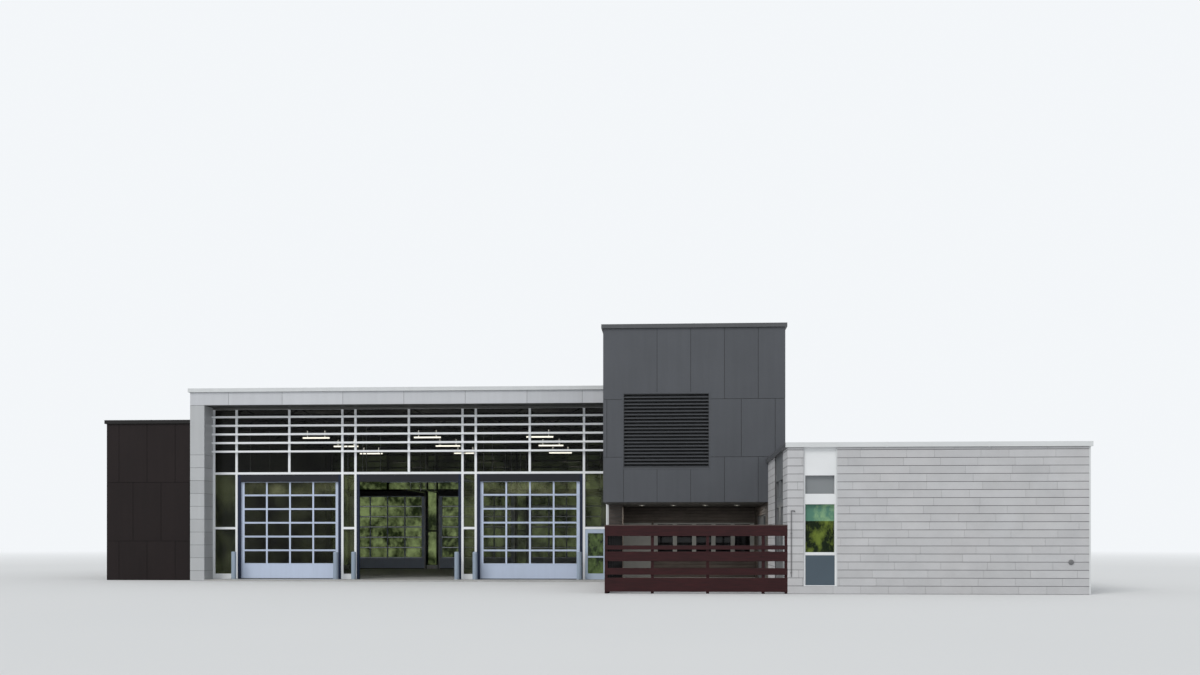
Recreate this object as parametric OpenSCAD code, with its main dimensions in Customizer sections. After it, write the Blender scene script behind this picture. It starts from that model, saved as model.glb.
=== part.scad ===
// Fire station: drive-through apparatus hall, side block, overhanging upper storey and masonry wing.
// Front faces -Y, origin at the middle of the footprint on the ground, millimetres.

/* [Hall] */
// Depth of the hall, from the front portal face to the rear portal face
hall_d = 21000; // [16000:100:26000]
// Height of the hall to the top of its coping
hall_h = 8300; // [7800:10:9500]
// Width of a portal leg
leg_w = 620; // [400:10:800]
// Depth of the reveal, from the portal face to the glazing
reveal_d = 1000; // [600:10:1600]
// Height of the portal soffit above the ground
soffit_z = 7575; // [7200:5:7700]
// Thickness of the side walls
wall_t = 300; // [200:10:400]
// Thickness of the roof decks
roof_t = 250; // [150:10:350]
// Depth of the hall roof below the wall top
hall_roof_drop = 190; // [100:10:200]
// Height of the floors above the ground
floor_t = 60; // [20:5:150]

/* [Copings] */
// Height of a coping
coping_h = 160; // [100:10:250]
// How far a coping stands out over the wall below
coping_out = 80; // [20:5:150]
// Width of a coping that bears on a wall
coping_seat = 370; // [300:10:450]
// Joint between two lengths of coping
coping_joint = 6; // [3:1:20]

/* [Glazing] */
// Width of a bay at either end of the glazing, between mullion centres
end_bay_w = 1010; // [900:10:1300]
// Width of an overhead door bay, between mullion centres
door_bay_w = 4710; // [4500:10:5200]
// Width of a pier bay between two overhead doors, between mullion centres
pier_bay_w = 580; // [400:10:900]
// Width of mullions and transoms
mullion_w = 100; // [60:5:120]
// Depth of mullions and transoms in front of the glass
frame_d = 60; // [40:5:100]
// Thickness of the glass units
glass_t = 30; // [20:1:40]
// Height of the transom over the overhead doors, to its centre
transom_z = 4685; // [4600:5:5000]
// Spacing of the horizontal bars below the head
bar_pitch = 378; // [250:1:450]
// Number of bars below the head
bar_n = 5; // [2:1:6]
// Height of a horizontal bar
bar_h = 80; // [50:5:120]
// How far the horizontal bars stand out in front of the mullions
bar_out = 160; // [60:10:250]
// Height of the transom over the man door, to its centre
low_transom_z = 2285; // [2100:5:2500]
// Height of the solid base of a bay frame above the floor
base_h = 230; // [100:10:400]

/* [Overhead doors] */
// Width of a door jamb
jamb_w = 130; // [100:5:300]
// Clear height above the floor
door_h = 4250; // [3600:10:4300]
// Depth of jambs and headers
jamb_d = 100; // [70:5:150]
// Height of the solid bottom section
bottom_section_h = 650; // [400:10:900]
// Number of glazed sections above the solid one
light_rows = 6; // [3:1:8]
// Number of panes across a section
light_cols = 4; // [2:1:6]
// Thickness of a door leaf
leaf_t = 50; // [40:1:70]
// Width of a leaf's inner stiles and of its rails
stile_w = 75; // [50:5:120]
// Width of a leaf's outer stiles, up to the jambs
end_stile_w = 145; // [80:5:200]
// How far a leaf laps behind its jambs
leaf_lap = 20; // [10:1:40]
// Thickness of the pane sheet behind a leaf
pane_t = 12; // [6:1:25]
// Side of a door track
track_w = 60; // [40:5:90]
// Outer radius of the bend in a door track
bend_r = 360; // [250:10:500]
// How far the tracks run on behind a raised leaf
track_rest = 540; // [200:10:900]
// Width of the joint between two sections of a leaf
section_gap = 6; // [4:1:12]
// Depth of that joint in the leaf's face
section_cut = 12; // [6:1:16]
// Height of a raised leaf above its clear opening
raised_gap = 180; // [100:10:200]

/* [Man door] */
// Gap around the leaf
man_gap = 8; // [6:1:12]
// Thickness of the leaf
man_t = 45; // [35:1:55]
// Width of the stiles
man_stile = 110; // [80:5:150]
// Height of the bottom rail
man_rail = 250; // [150:10:350]
// Height of the middle rail above the foot of the leaf
man_mid_z = 970; // [800:10:1200]
// Height of the middle rail itself
man_mid_h = 70; // [50:5:120]
// Radius of the hinge knuckles
knuckle_r = 9; // [7:0.5:11]
// Length of the pull handle
pull_l = 320; // [200:10:500]
// Diameter of the pull handle
pull_dia = 25; // [19:1:32]
// Distance from the leaf to the axis of the pull handle
pull_off = 60; // [45:1:80]

/* [Joists and lights] */
// Depth of an open-web joist
joist_h = 800; // [500:10:1000]
// Side of the joist chords
chord_w = 100; // [60:5:120]
// Side of the joist webs
web_w = 50; // [30:5:70]
// Number of joists
joist_n = 7; // [4:1:10]
// Number of web panels along a joist
panel_n = 14; // [8:1:20]
// Length of a ceiling light
light_l = 1250; // [900:10:1800]
// Width of a ceiling light
light_w = 120; // [80:5:200]
// Height of a ceiling light
light_h = 60; // [40:5:100]
// Length of the stems that carry a light
stem_l = 300; // [150:10:600]
// Diameter of those stems
stem_dia = 16; // [8:1:30]

/* [Bollards] */
// Height of a bollard above the floor
bollard_h = 1200; // [900:10:1400]
// Diameter of a bollard
bollard_dia = 210; // [120:5:260]
// Distance from a pier centre to the bollard on its left
bollard_left = 460; // [300:10:700]
// Distance from a pier centre to the bollard on its right
bollard_right = 330; // [250:10:700]
// Distance from the glazing to the bollards
bollard_lead = 450; // [350:10:800]

/* [Side block] */
// Width of the side block
block_w = 4150; // [3000:10:5000]
// Height of the side block to the top of its coping
block_h = 7050; // [6000:10:7600]
// Depth of its roof below the wall top
block_roof_drop = 300; // [200:10:500]

/* [Tower] */
// Width of the upper storey
tower_w = 7210; // [6500:10:8000]
// Height to the top of its coping
tower_h = 10370; // [9500:10:11500]
// Height of its underside
under_z = 3270; // [2900:10:3600]
// Distance from its front to the portal face
tower_lead = 3000; // [1500:10:4000]
// Depth of the upper storey
tower_d = 12000; // [10000:100:15000]
// How far it reaches over the wing
over_wing = 660; // [660:10:1000]
// Width of the louvre
louvre_w = 3472; // [2000:8:4400]
// Height of the louvre
louvre_h = 3030; // [1800:1:3200]
// Height of the louvre sill above the ground
louvre_z = 4602; // [4300:1:5200]
// Distance from the left face to the louvre
louvre_x = 774; // [500:1:1500]
// Number of louvre blades
blade_n = 21; // [8:1:26]
// Width of the louvre frame
louvre_edge = 55; // [40:5:90]
// Depth of the louvre
louvre_d = 150; // [130:5:200]
// Thickness of a blade
blade_t = 8; // [5:1:12]
// Distance from the face of the louvre to its blades
blade_in = 12; // [5:1:30]
// Thickness of the floor of the upper storey
deck_t = 400; // [300:10:600]
// Depth of its roof below the wall top
tower_roof_drop = 350; // [200:10:600]

/* [Terrace] */
// Depth of the covered terrace, from the tower front to its back wall
terrace_d = 7600; // [6000:10:8500]
// Height of the terrace window heads
terrace_head = 2550; // [2200:10:2800]
// Height of the terrace window sill
terrace_sill = 900; // [500:10:1200]
// Width of the terrace window row
row_w = 4600; // [3000:10:4900]
// Number of windows in the row
row_n = 5; // [3:1:7]
// Width of the posts between those windows
row_post_w = 190; // [60:5:240]
// Distance from the row to the wing
row_gap = 60; // [40:10:400]
// Width of the pale panel beside the row
pale_w = 1460; // [800:10:1600]
// Gap between the pale panel and the row
pale_gap = 95; // [50:5:200]
// Thickness of the pale panel
pale_t = 40; // [20:1:60]
// Number of round lights in the soffit
soffit_n = 4; // [2:1:5]
// Distance between the soffit lights
soffit_pitch = 1370; // [900:10:1400]
// Distance from the tower's left face to the first soffit light
soffit_x = 1400; // [700:10:1600]
// Diameter of a soffit light
soffit_dia = 180; // [100:5:250]
// Depth of the recess of a soffit light
soffit_in = 80; // [40:5:150]

/* [Fence] */
// Height of the fence
fence_h = 2280; // [1800:10:2500]
// Distance from the tower's left face to the fence end
fence_x = 500; // [450:10:510]
// Thickness of the boards
board_t = 45; // [30:5:60]
// Side of the posts
post_w = 100; // [80:5:120]
// Width of the cap rail
cap_w = 160; // [120:5:200]
// Distance from a fence end to its first inner post
post_lead = 1535; // [600:5:1900]
// Distance between the inner posts
post_pitch = 1830; // [1200:10:2400]

/* [Wing] */
// Width of the wing
wing_w = 9760; // [8000:10:11000]
// Height of the wing to the top of its coping
wing_h = 4990; // [4800:10:5600]
// Distance from the wing's front to the tower's front
wing_lead = 8300; // [6000:10:9500]
// Thickness of the masonry walls
masonry_t = 350; // [250:10:360]
// Depth of its roof below the wall top
wing_roof_drop = 330; // [200:10:500]
// Distance from the wing's left corner to the window strip
strip_x = 516; // [400:1:900]
// Width of a window strip
strip_w = 1078; // [900:1:1300]
// Height of the foot of a window strip
strip_z = 260; // [150:10:400]
// Distance from the wing's front to the window bay of its left wall
bay_lead = 1700; // [800:10:1800]
// Width of that window bay
bay_d = 3450; // [2400:10:3600]
// Number of panes across that bay
bay_cols = 2; // [1:1:3]
// Width of a pane of that bay
bay_pane_w = 875; // [600:5:1000]
// Distance from the wing's front to the glazed screen of its left wall
screen_lead = 9550; // [8700:10:9700]
// Width of that screen
screen_d = 4910; // [4000:10:5200]
// Height of its head above the ground
screen_h = 2830; // [2400:10:3100]
// Number of window strips in the right wall
right_strips = 4; // [2:1:6]
// Number of window strips in the rear wall
rear_strips = 2; // [1:1:3]
// Depth of the windows behind the wall face
window_in = 60; // [40:5:80]
// Thickness of window frames
window_t = 120; // [80:5:160]
// Width of window frame members
window_w = 60; // [40:5:80]
// Height of the lower windows' sills above the ground
low_pane_z = 1372; // [1200:1:1500]
// Height of the lower windows
low_pane_h = 1584; // [1300:1:1700]
// Height of the upper windows' sills above the ground
high_pane_z = 3300; // [3200:1:3500]
// Height of the upper windows
high_pane_h = 607; // [400:1:700]
// Height of the rail under the lower windows
sill_rail_h = 100; // [60:5:160]
// Thickness of the grey-blue panels
panel_t = 20; // [10:1:35]
// Diameter of the pipe on the front wall
pipe_dia = 30; // [24:2:70]
// Distance from the wing's left corner to the pipe
pipe_x = 110; // [80:5:250]
// Height of the pipe's foot above the ground
pipe_z0 = 560; // [300:10:1200]
// Height of the pipe's elbow above the ground
pipe_z1 = 2740; // [2300:10:4300]
// Length of the pipe's outlet past the elbow
pipe_outlet = 110; // [60:5:250]
// Length of the outlet's end, which turns down
pipe_drop = 45; // [30:5:90]

/* [Hidden] */
eps = 1;

// Places along X, from the left face of the side block to the right face of the wing
glaze_w = 2 * end_bay_w + 3 * door_bay_w + 2 * pier_bay_w + mullion_w;
total_w = block_w + leg_w + glaze_w + tower_w - over_wing + wing_w;
x_block = -total_w / 2;
x_leg = x_block + block_w;
x_glaze = x_leg + leg_w;
x_tower = x_glaze + glaze_w;
x_tower_r = x_tower + tower_w;
x_wing = x_tower_r - over_wing;
x_wing_r = x_wing + wing_w;

// Places along Y, from the front of the wing to the rear of the hall
total_d = wing_lead + tower_lead + hall_d;
y_wing = -total_d / 2;
y_tower = y_wing + wing_lead;
y_portal = y_tower + tower_lead;
y_glaze = y_portal + reveal_d;
y_rear = y_portal + hall_d;
y_tower_r = y_tower + tower_d;
y_back = y_tower + terrace_d;
y_mid = (y_portal + y_rear) / 2;

// Mullion centres, counted from the left end of the glazing
bay_x0 = x_glaze + mullion_w / 2;
pitch = door_bay_w + pier_bay_w;
door_w = door_bay_w - mullion_w - 2 * jamb_w;
function bay_x(i) = bay_x0 + end_bay_w + i * pitch;
jamb_r = bay_x(2) + door_bay_w + end_bay_w;
man_x0 = bay_x(2) + door_bay_w + mullion_w / 2;
man_x1 = jamb_r - mullion_w / 2;

// Levels
hall_wall_h = hall_h - coping_h;
roof_top = hall_wall_h - hall_roof_drop;
leg_d = reveal_d + frame_d + glass_t;
upper_z = transom_z - mullion_w / 2;
man_top = low_transom_z - mullion_w / 2 - man_gap;
man_z = floor_t + 10;
block_wall_h = block_h - coping_h;
tower_wall_h = tower_h - coping_h;
wing_wall_h = wing_h - coping_h;

// A box given by its lowest and highest corners
module span_box(a, b) {
    translate(a) cube(b - a);
}

// What stands at the front of the hall, repeated at its rear
module at_rear() {
    translate([0, 2 * y_mid, 0]) mirror([0, 1, 0]) children();
}

// A flat frame in the XZ plane with openings for panes, w by h, cols by rows
module grid_frame(w, h, d, cols, rows, edge, bar) {
    pane_w = (w - 2 * edge - (cols - 1) * bar) / cols;
    pane_h = (h - 2 * edge - (rows - 1) * bar) / rows;
    difference() {
        cube([w, d, h]);
        for (i = [0 : cols - 1]) {
            for (j = [0 : rows - 1]) {
                translate([edge + i * (pane_w + bar), -eps, edge + j * (pane_h + bar)])
                    cube([pane_w, d + 2 * eps, pane_h]);
            }
        }
    }
}

module floor_slabs() {
    color("darkgray") {
        span_box([x_glaze, y_portal, 0], [x_tower, y_rear, floor_t]);
        span_box([x_tower + max(leg_w, fence_x + cap_w), y_tower, 0], [x_wing, y_back, floor_t]);
        span_box([x_tower + wall_t, y_back + wall_t, 0], [x_wing, y_tower_r - wall_t, floor_t]);
        span_box([x_wing + masonry_t, y_wing + masonry_t, 0],
                 [x_wing_r - masonry_t, y_tower_r - masonry_t, floor_t]);
    }
}

module hall_left_wall() {
    color("silver")
        span_box([x_leg, y_portal + leg_d, 0], [x_leg + wall_t, y_rear - leg_d, hall_wall_h]);
}

module hall_right_wall() {
    color("silver")
        span_box([x_tower, y_portal + leg_d, 0], [x_tower + wall_t, y_rear - leg_d, hall_wall_h]);
}

module hall_roof() {
    color("gray")
        span_box([x_leg + wall_t, y_portal + leg_d, roof_top - roof_t],
                 [x_tower, y_rear - leg_d, roof_top]);
}

// One open-web joist along X, its top at the underside of the roof
module joist() {
    span = x_tower - x_leg - wall_t;
    step = span / panel_n;
    rise = joist_h - chord_w;
    translate([0, -chord_w / 2, joist_h - chord_w]) cube([span, chord_w, chord_w]);
    translate([0, -chord_w / 2, 0]) cube([span, chord_w, chord_w]);
    for (i = [0 : panel_n - 1]) {
        foot = (i % 2 == 0) ? i * step : (i + 1) * step;
        lean = (i % 2 == 0) ? atan2(step, rise) : -atan2(step, rise);
        translate([foot, -web_w / 2, chord_w / 2])
            rotate([0, lean, 0])
                translate([-web_w / 2, 0, 0])
                    cube([web_w, web_w, norm([step, rise])]);
    }
}

function joist_y(i) = y_portal + leg_d + (i + 0.5) * (hall_d - 2 * leg_d) / joist_n;

module roof_joists() {
    color("dimgray")
        intersection() {
            for (i = [0 : joist_n - 1]) {
                translate([x_leg + wall_t, joist_y(i), roof_top - roof_t - joist_h]) joist();
            }
            span_box([x_leg + wall_t, y_portal, 0], [x_tower, y_rear, roof_top - roof_t]);
        }
}

// A portal leg under the parapet, its parapet wall on the front and on one side
module full_leg(side) {
    cube([leg_w, leg_d, roof_top]);
    cube([leg_w, coping_seat, hall_wall_h]);
    translate([side > 0 ? leg_w - wall_t : 0, 0, 0]) cube([wall_t, leg_d, hall_wall_h]);
}

module portal_legs() {
    color("silver") {
        translate([x_leg, y_portal, 0]) full_leg(-1);
        span_box([x_tower, y_portal, 0], [x_tower + leg_w, y_portal + leg_d, under_z]);
        at_rear() {
            translate([x_leg, y_portal, 0]) full_leg(-1);
            translate([x_tower, y_portal, 0]) mirror([1, 0, 0]) translate([-leg_w, 0, 0]) full_leg(-1);
        }
    }
}

module fascia() {
    translate([x_glaze, y_portal, 0])
        rotate([90, 0, 90])
            linear_extrude(glaze_w)
                polygon([
                    [0, soffit_z], [leg_d, soffit_z], [leg_d, roof_top],
                    [coping_seat, roof_top], [coping_seat, hall_wall_h], [0, hall_wall_h]
                ]);
}

module portal_fascias() {
    color("silver") {
        fascia();
        at_rear() fascia();
    }
}

// A straight length of coping along X or Y between two corners in plan
module coping_run(a, b, z) {
    span_box([a[0], a[1], z], [b[0], b[1], z + coping_h]);
}

module hall_coping() {
    z = hall_wall_h;
    color("gainsboro") {
        coping_run([x_leg - coping_out, y_portal - coping_out],
                   [x_tower - eps, y_portal + coping_seat], z);
        coping_run([x_leg - coping_out, y_portal + coping_seat + coping_joint],
                   [x_leg + coping_seat, y_rear - coping_seat - coping_joint], z);
        coping_run([x_leg - coping_out, y_rear - coping_seat],
                   [x_tower + leg_w + coping_out, y_rear + coping_out], z);
        coping_run([x_tower + wall_t - coping_seat, y_tower_r + eps],
                   [x_tower + wall_t + coping_out, y_rear - coping_seat - coping_joint], z);
    }
}

// Mullions and bars above the overhead doors
module upper_frame() {
    top = soffit_z;
    bar = mullion_w;
    translate([0, y_glaze, 0]) {
        for (x = concat([bay_x0, jamb_r],
                        [for (i = [0 : 2]) bay_x(i)],
                        [for (i = [0 : 2]) bay_x(i) + door_bay_w],
                        [for (i = [0 : 2]) bay_x(i) + door_bay_w / 2])) {
            translate([x - bar / 2, 0, upper_z]) cube([bar, frame_d, top - upper_z]);
        }
        for (z = [upper_z, top - bar]) {
            translate([x_glaze, 0, z]) cube([glaze_w, frame_d, bar]);
        }
        for (k = [1 : bar_n]) {
            translate([x_glaze, -bar_out, top - bar / 2 - k * bar_pitch - bar_h / 2])
                cube([glaze_w, bar_out + frame_d, bar_h]);
        }
    }
}

module front_upper_frame() {
    color("gainsboro") upper_frame();
}

// A narrow bay below the door transom: two mullions, a low transom and a solid base
module bay_frame(x0, x1) {
    w = x1 - x0 + mullion_w;
    h = upper_z - floor_t;
    low_h = low_transom_z - mullion_w / 2 - floor_t - base_h;
    translate([x0 - mullion_w / 2, y_glaze, floor_t])
        difference() {
            cube([w, frame_d, h]);
            translate([mullion_w, -eps, base_h]) cube([w - 2 * mullion_w, frame_d + 2 * eps, low_h]);
            translate([mullion_w, -eps, base_h + low_h + mullion_w])
                cube([w - 2 * mullion_w, frame_d + 2 * eps, upper_z - low_transom_z]);
        }
}

module front_bay_frames() {
    color("gainsboro") {
        bay_frame(bay_x0, bay_x(0));
        for (i = [0 : 1]) {
            bay_frame(bay_x(i) + door_bay_w, bay_x(i + 1));
        }
        for (x = [man_x0 - mullion_w, man_x1]) {
            translate([x, y_glaze, floor_t]) cube([mullion_w, frame_d, upper_z - floor_t]);
        }
    }
}

module bay_glass(x0, x1, z0) {
    span_box([x0 - mullion_w / 2, y_glaze + frame_d, z0],
             [x1 + mullion_w / 2, y_glaze + frame_d + glass_t, upper_z]);
}

module upper_glass() {
    span_box([x_glaze, y_glaze + frame_d, upper_z + eps],
             [x_tower, y_glaze + frame_d + glass_t, soffit_z]);
}

module front_glass() {
    color("darkslategray") {
        upper_glass();
        bay_glass(bay_x0, bay_x(0), floor_t + base_h);
        for (i = [0 : 1]) {
            bay_glass(bay_x(i) + door_bay_w, bay_x(i + 1), floor_t + base_h);
        }
        bay_glass(bay_x(2) + door_bay_w, jamb_r, low_transom_z);
    }
}

// Hinge axis of the man door, at the right jamb in front of the frame
axis_off = 12;
axis_x = man_x1 - man_gap / 2;
axis_y = y_glaze - axis_off;
knuckle_l = 40;
pin_r = 4;
pin_gap = 0.5;
hinge_t = 9;
hinge_reach = 42;
hinge_z = [for (t = [0.1, 0.5, 0.9]) man_z + t * (man_top - man_z)];

// A hinge knuckle with its leaf, which reaches along X to the post or to the door leaf
module knuckle(z, l, reach) {
    translate([axis_x, axis_y, z]) {
        cylinder(h = l, r = knuckle_r, $fn = 48);
        translate([min(0, reach), axis_off - hinge_t, 0]) cube([abs(reach), hinge_t, l]);
    }
}

// Head of the man door between its two posts, and the fixed halves of the hinges
module man_door_frame() {
    color("gainsboro") {
        translate([man_x0, y_glaze, low_transom_z - mullion_w / 2])
            cube([man_x1 - man_x0, frame_d, mullion_w]);
        for (z = hinge_z) {
            knuckle(z - 1.5 * knuckle_l, knuckle_l, hinge_reach);
            knuckle(z + 0.5 * knuckle_l, knuckle_l, hinge_reach);
            translate([axis_x, axis_y, z - knuckle_l])
                cylinder(h = 2 * knuckle_l, r = pin_r, $fn = 32);
        }
    }
}

// Clear heights of the lower and the upper pane of the man door
man_pane_h = [
    man_mid_z - man_mid_h / 2 - man_rail,
    man_top - man_z - man_mid_z - man_mid_h / 2 - 1.5 * man_stile
];
man_pane_z = [man_rail, man_mid_z + man_mid_h / 2];

module man_door_leaf() {
    w = man_x1 - man_x0 - 2 * man_gap;
    h = man_top - man_z;
    color("lightsteelblue")
        difference() {
            union() {
                translate([man_x0 + man_gap, y_glaze, man_z])
                    difference() {
                        cube([w, man_t, h]);
                        for (k = [0, 1]) {
                            translate([man_stile, -eps, man_pane_z[k]])
                                cube([w - 2 * man_stile, man_t + 2 * eps, man_pane_h[k]]);
                        }
                    }
                for (z = hinge_z) {
                    knuckle(z - 0.5 * knuckle_l + pin_gap, knuckle_l - 2 * pin_gap, -hinge_reach);
                }
            }
            for (z = hinge_z) {
                translate([axis_x, axis_y, z - knuckle_l])
                    cylinder(h = 2 * knuckle_l, r = pin_r + pin_gap, $fn = 32);
            }
        }
}

module man_door_glass() {
    w = man_x1 - man_x0 - 2 * man_gap - 2 * man_stile;
    color("darkslategray")
        for (k = [0, 1]) {
            translate([man_x0 + man_gap + man_stile, y_glaze + man_t / 3, man_z + man_pane_z[k]])
                cube([w, man_t / 3, man_pane_h[k]]);
        }
}

module man_door_handle() {
    color("silver")
        translate([man_x0 + man_gap + man_stile / 2, y_glaze, man_z + man_mid_z]) {
            translate([0, -pull_off, -pull_l / 2]) cylinder(h = pull_l, d = pull_dia, $fn = 32);
            for (s = [-1, 1]) {
                translate([0, 0, s * pull_l * 3 / 8])
                    rotate([90, 0, 0])
                        cylinder(h = pull_off, d = pull_dia * 2 / 3, $fn = 24);
            }
        }
}

// An overhead door leaf, standing with its foot at the origin
module leaf_frame() {
    w = door_w + 2 * leaf_lap;
    h = door_h + leaf_lap;
    row_h = (h - bottom_section_h) / light_rows;
    side_w = end_stile_w + leaf_lap;
    pane_w = (w - 2 * side_w - (light_cols - 1) * stile_w) / light_cols;
    difference() {
        cube([w, leaf_t, h]);
        for (i = [0 : light_cols - 1]) {
            for (j = [0 : light_rows - 1]) {
                translate([side_w + i * (pane_w + stile_w), -eps,
                           bottom_section_h + j * row_h + stile_w / 2])
                    cube([pane_w, leaf_t + 2 * eps, row_h - stile_w]);
            }
        }
        for (j = [0 : light_rows - 1]) {
            translate([-eps, -eps, bottom_section_h + j * row_h - section_gap / 2])
                cube([w + 2 * eps, section_cut + eps, section_gap]);
        }
    }
}

// The pane sheet of a leaf, behind its frame
module leaf_glass() {
    w = door_w + 2 * leaf_lap;
    h = door_h + leaf_lap;
    translate([leaf_lap, leaf_t, bottom_section_h])
        cube([w - 2 * leaf_lap, pane_t, h - bottom_section_h - stile_w / 2]);
}

function leaf_x(i) = bay_x(i) + (door_bay_w - door_w) / 2 - leaf_lap;
leaf_y = y_glaze + jamb_d;
raised_z = floor_t + door_h + raised_gap;

module closed(i) {
    translate([leaf_x(i), leaf_y, floor_t]) children();
}

module raised(i) {
    translate([leaf_x(i), leaf_y + bend_r, raised_z + leaf_t]) rotate([-90, 0, 0]) children();
}

module overhead_door_left() {
    color("lightsteelblue") closed(0) leaf_frame();
}

module overhead_door_middle() {
    color("lightsteelblue") raised(1) leaf_frame();
}

module overhead_door_right() {
    color("lightsteelblue") closed(2) leaf_frame();
}

module rear_overhead_doors() {
    color("lightsteelblue")
        at_rear() {
            for (i = [0 : 2]) {
                closed(i) leaf_frame();
            }
        }
}

module overhead_door_glass() {
    color("darkslategray") {
        closed(0) leaf_glass();
        raised(1) leaf_glass();
        closed(2) leaf_glass();
        at_rear() {
            for (i = [0 : 2]) {
                closed(i) leaf_glass();
            }
        }
    }
}

// A pair of jambs, each from its mullion to the clear width
module jambs(i) {
    for (x = [bay_x(i) + mullion_w / 2, bay_x(i) + door_bay_w - mullion_w / 2 - jamb_w]) {
        translate([x, y_glaze, floor_t]) cube([jamb_w, jamb_d, upper_z - floor_t]);
    }
}

module door_jambs() {
    color("midnightblue")
        for (i = [0 : 2]) {
            jambs(i);
            at_rear() jambs(i);
        }
}

module header(i) {
    translate([bay_x(i) + mullion_w / 2 + jamb_w, y_glaze, floor_t + door_h])
        cube([door_w, jamb_d, upper_z - floor_t - door_h]);
}

module door_headers() {
    color("slategray")
        for (i = [0 : 2]) {
            header(i);
            at_rear() header(i);
        }
}

// What stands at both sides of every overhead door, at the front and at the rear
module beside_doors() {
    for (i = [0 : 2]) {
        for (x = [leaf_x(i) - track_w, leaf_x(i) + door_w + 2 * leaf_lap]) {
            translate([x, leaf_y, 0]) children();
            at_rear() translate([x, leaf_y, 0]) children();
        }
    }
}

bend_z = raised_z + track_w - bend_r;

// Upright tracks, from the floor to the bends
module door_tracks() {
    color("lightgray")
        beside_doors() translate([0, 0, floor_t]) cube([track_w, track_w, bend_z - floor_t]);
}

// Quarter bends, from the upright tracks to the level runs
module track_bends() {
    color("lightgray")
        beside_doors()
            translate([0, bend_r, bend_z])
                rotate([90, 0, 90])
                    rotate([0, 0, 90])
                        rotate_extrude(angle = 90, $fn = 96)
                            translate([bend_r - track_w, 0])
                                square(track_w);
}

// Level runs, in which a raised leaf hangs
module track_runs() {
    color("lightgray")
        beside_doors() translate([0, bend_r, raised_z]) cube([track_w, door_h + track_rest, track_w]);
}

// Hangers of the level runs, from the bottom chords of two joists
module track_hangers() {
    z = raised_z + track_w;
    color("lightgray")
        beside_doors()
            for (i = [0, 1]) {
                translate([track_w / 4, joist_y(i) - leaf_y - web_w / 2, z])
                    cube([track_w / 2, web_w, roof_top - roof_t - joist_h - z]);
            }
}

module rear_upper_frame() {
    color("gainsboro") at_rear() upper_frame();
}

module rear_bay_frames() {
    color("gainsboro")
        at_rear() {
            bay_frame(bay_x0, bay_x(0));
            for (i = [0 : 1]) {
                bay_frame(bay_x(i) + door_bay_w, bay_x(i + 1));
            }
            bay_frame(bay_x(2) + door_bay_w, jamb_r);
        }
}

module rear_glass() {
    color("darkslategray")
        at_rear() {
            upper_glass();
            bay_glass(bay_x0, bay_x(0), floor_t + base_h);
            for (i = [0 : 1]) {
                bay_glass(bay_x(i) + door_bay_w, bay_x(i + 1), floor_t + base_h);
            }
            bay_glass(bay_x(2) + door_bay_w, jamb_r, floor_t + base_h);
        }
}

module bollard() {
    r = bollard_dia / 2;
    round_r = r / 2;
    rotate_extrude($fn = 64) {
        square([r, bollard_h - round_r]);
        square([r - round_r, bollard_h]);
        translate([r - round_r, bollard_h - round_r]) circle(r = round_r, $fn = 48);
    }
}

module bollards() {
    color("lightsteelblue")
        for (i = [0 : 1]) {
            pier = bay_x(i) + door_bay_w + pier_bay_w / 2;
            for (dx = [-bollard_left, bollard_right]) {
                translate([pier + dx, y_glaze - bollard_lead, floor_t]) bollard();
            }
        }
}

// Ceiling light under a joist, with its two stems
module ceiling_light() {
    translate([-light_l / 2, -light_w / 2, -stem_l - light_h]) cube([light_l, light_w, light_h]);
    for (s = [-1, 1]) {
        translate([s * light_l / 3, 0, -stem_l]) cylinder(h = stem_l, d = stem_dia, $fn = 16);
    }
}

module ceiling_lights() {
    z = roof_top - roof_t - joist_h;
    color("white")
        for (i = [0 : 2]) {
            for (j = [1 : 2 : joist_n - 1]) {
                translate([bay_x(i) + door_bay_w / 2, joist_y(j), z]) ceiling_light();
            }
        }
}

module block_front_wall() {
    color("dimgray")
        span_box([x_block, y_glaze, 0], [x_leg, y_glaze + wall_t, block_wall_h]);
}

module block_side_wall() {
    color("dimgray")
        span_box([x_block, y_glaze + wall_t, 0],
                 [x_block + wall_t, y_rear - reveal_d - wall_t, block_wall_h]);
}

module block_rear_wall() {
    color("dimgray")
        span_box([x_block, y_rear - reveal_d - wall_t, 0], [x_leg, y_rear - reveal_d, block_wall_h]);
}

module block_roof() {
    color("gray")
        span_box([x_block + wall_t, y_glaze + wall_t, block_wall_h - block_roof_drop - roof_t],
                 [x_leg, y_rear - reveal_d - wall_t, block_wall_h - block_roof_drop]);
}

module block_coping() {
    z = block_wall_h;
    color("gainsboro") {
        coping_run([x_block - coping_out, y_glaze - coping_out],
                   [x_leg, y_glaze + coping_seat], z);
        coping_run([x_block - coping_out, y_glaze + coping_seat + coping_joint],
                   [x_block + coping_seat, y_rear - reveal_d - coping_seat - coping_joint], z);
        coping_run([x_block - coping_out, y_rear - reveal_d - coping_seat],
                   [x_leg, y_rear - reveal_d + coping_out], z);
    }
}

module tower_front_wall() {
    color("dimgray")
        difference() {
            span_box([x_tower, y_tower, under_z], [x_tower_r, y_tower + wall_t, tower_wall_h]);
            translate([x_tower + louvre_x, y_tower - eps, louvre_z])
                cube([louvre_w, wall_t + 2 * eps, louvre_h]);
        }
}

module tower_side_walls() {
    color("dimgray") {
        translate([x_tower, 0, 0])
            rotate([90, 0, 90])
                linear_extrude(wall_t)
                    polygon([
                        [y_tower + wall_t, under_z], [y_portal + leg_d, under_z],
                        [y_portal + leg_d, hall_wall_h], [y_tower_r - wall_t, hall_wall_h],
                        [y_tower_r - wall_t, tower_wall_h], [y_tower + wall_t, tower_wall_h]
                    ]);
        span_box([x_tower_r - wall_t, y_tower + wall_t, under_z],
                 [x_tower_r, y_tower_r - wall_t, tower_wall_h]);
    }
}

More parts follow.
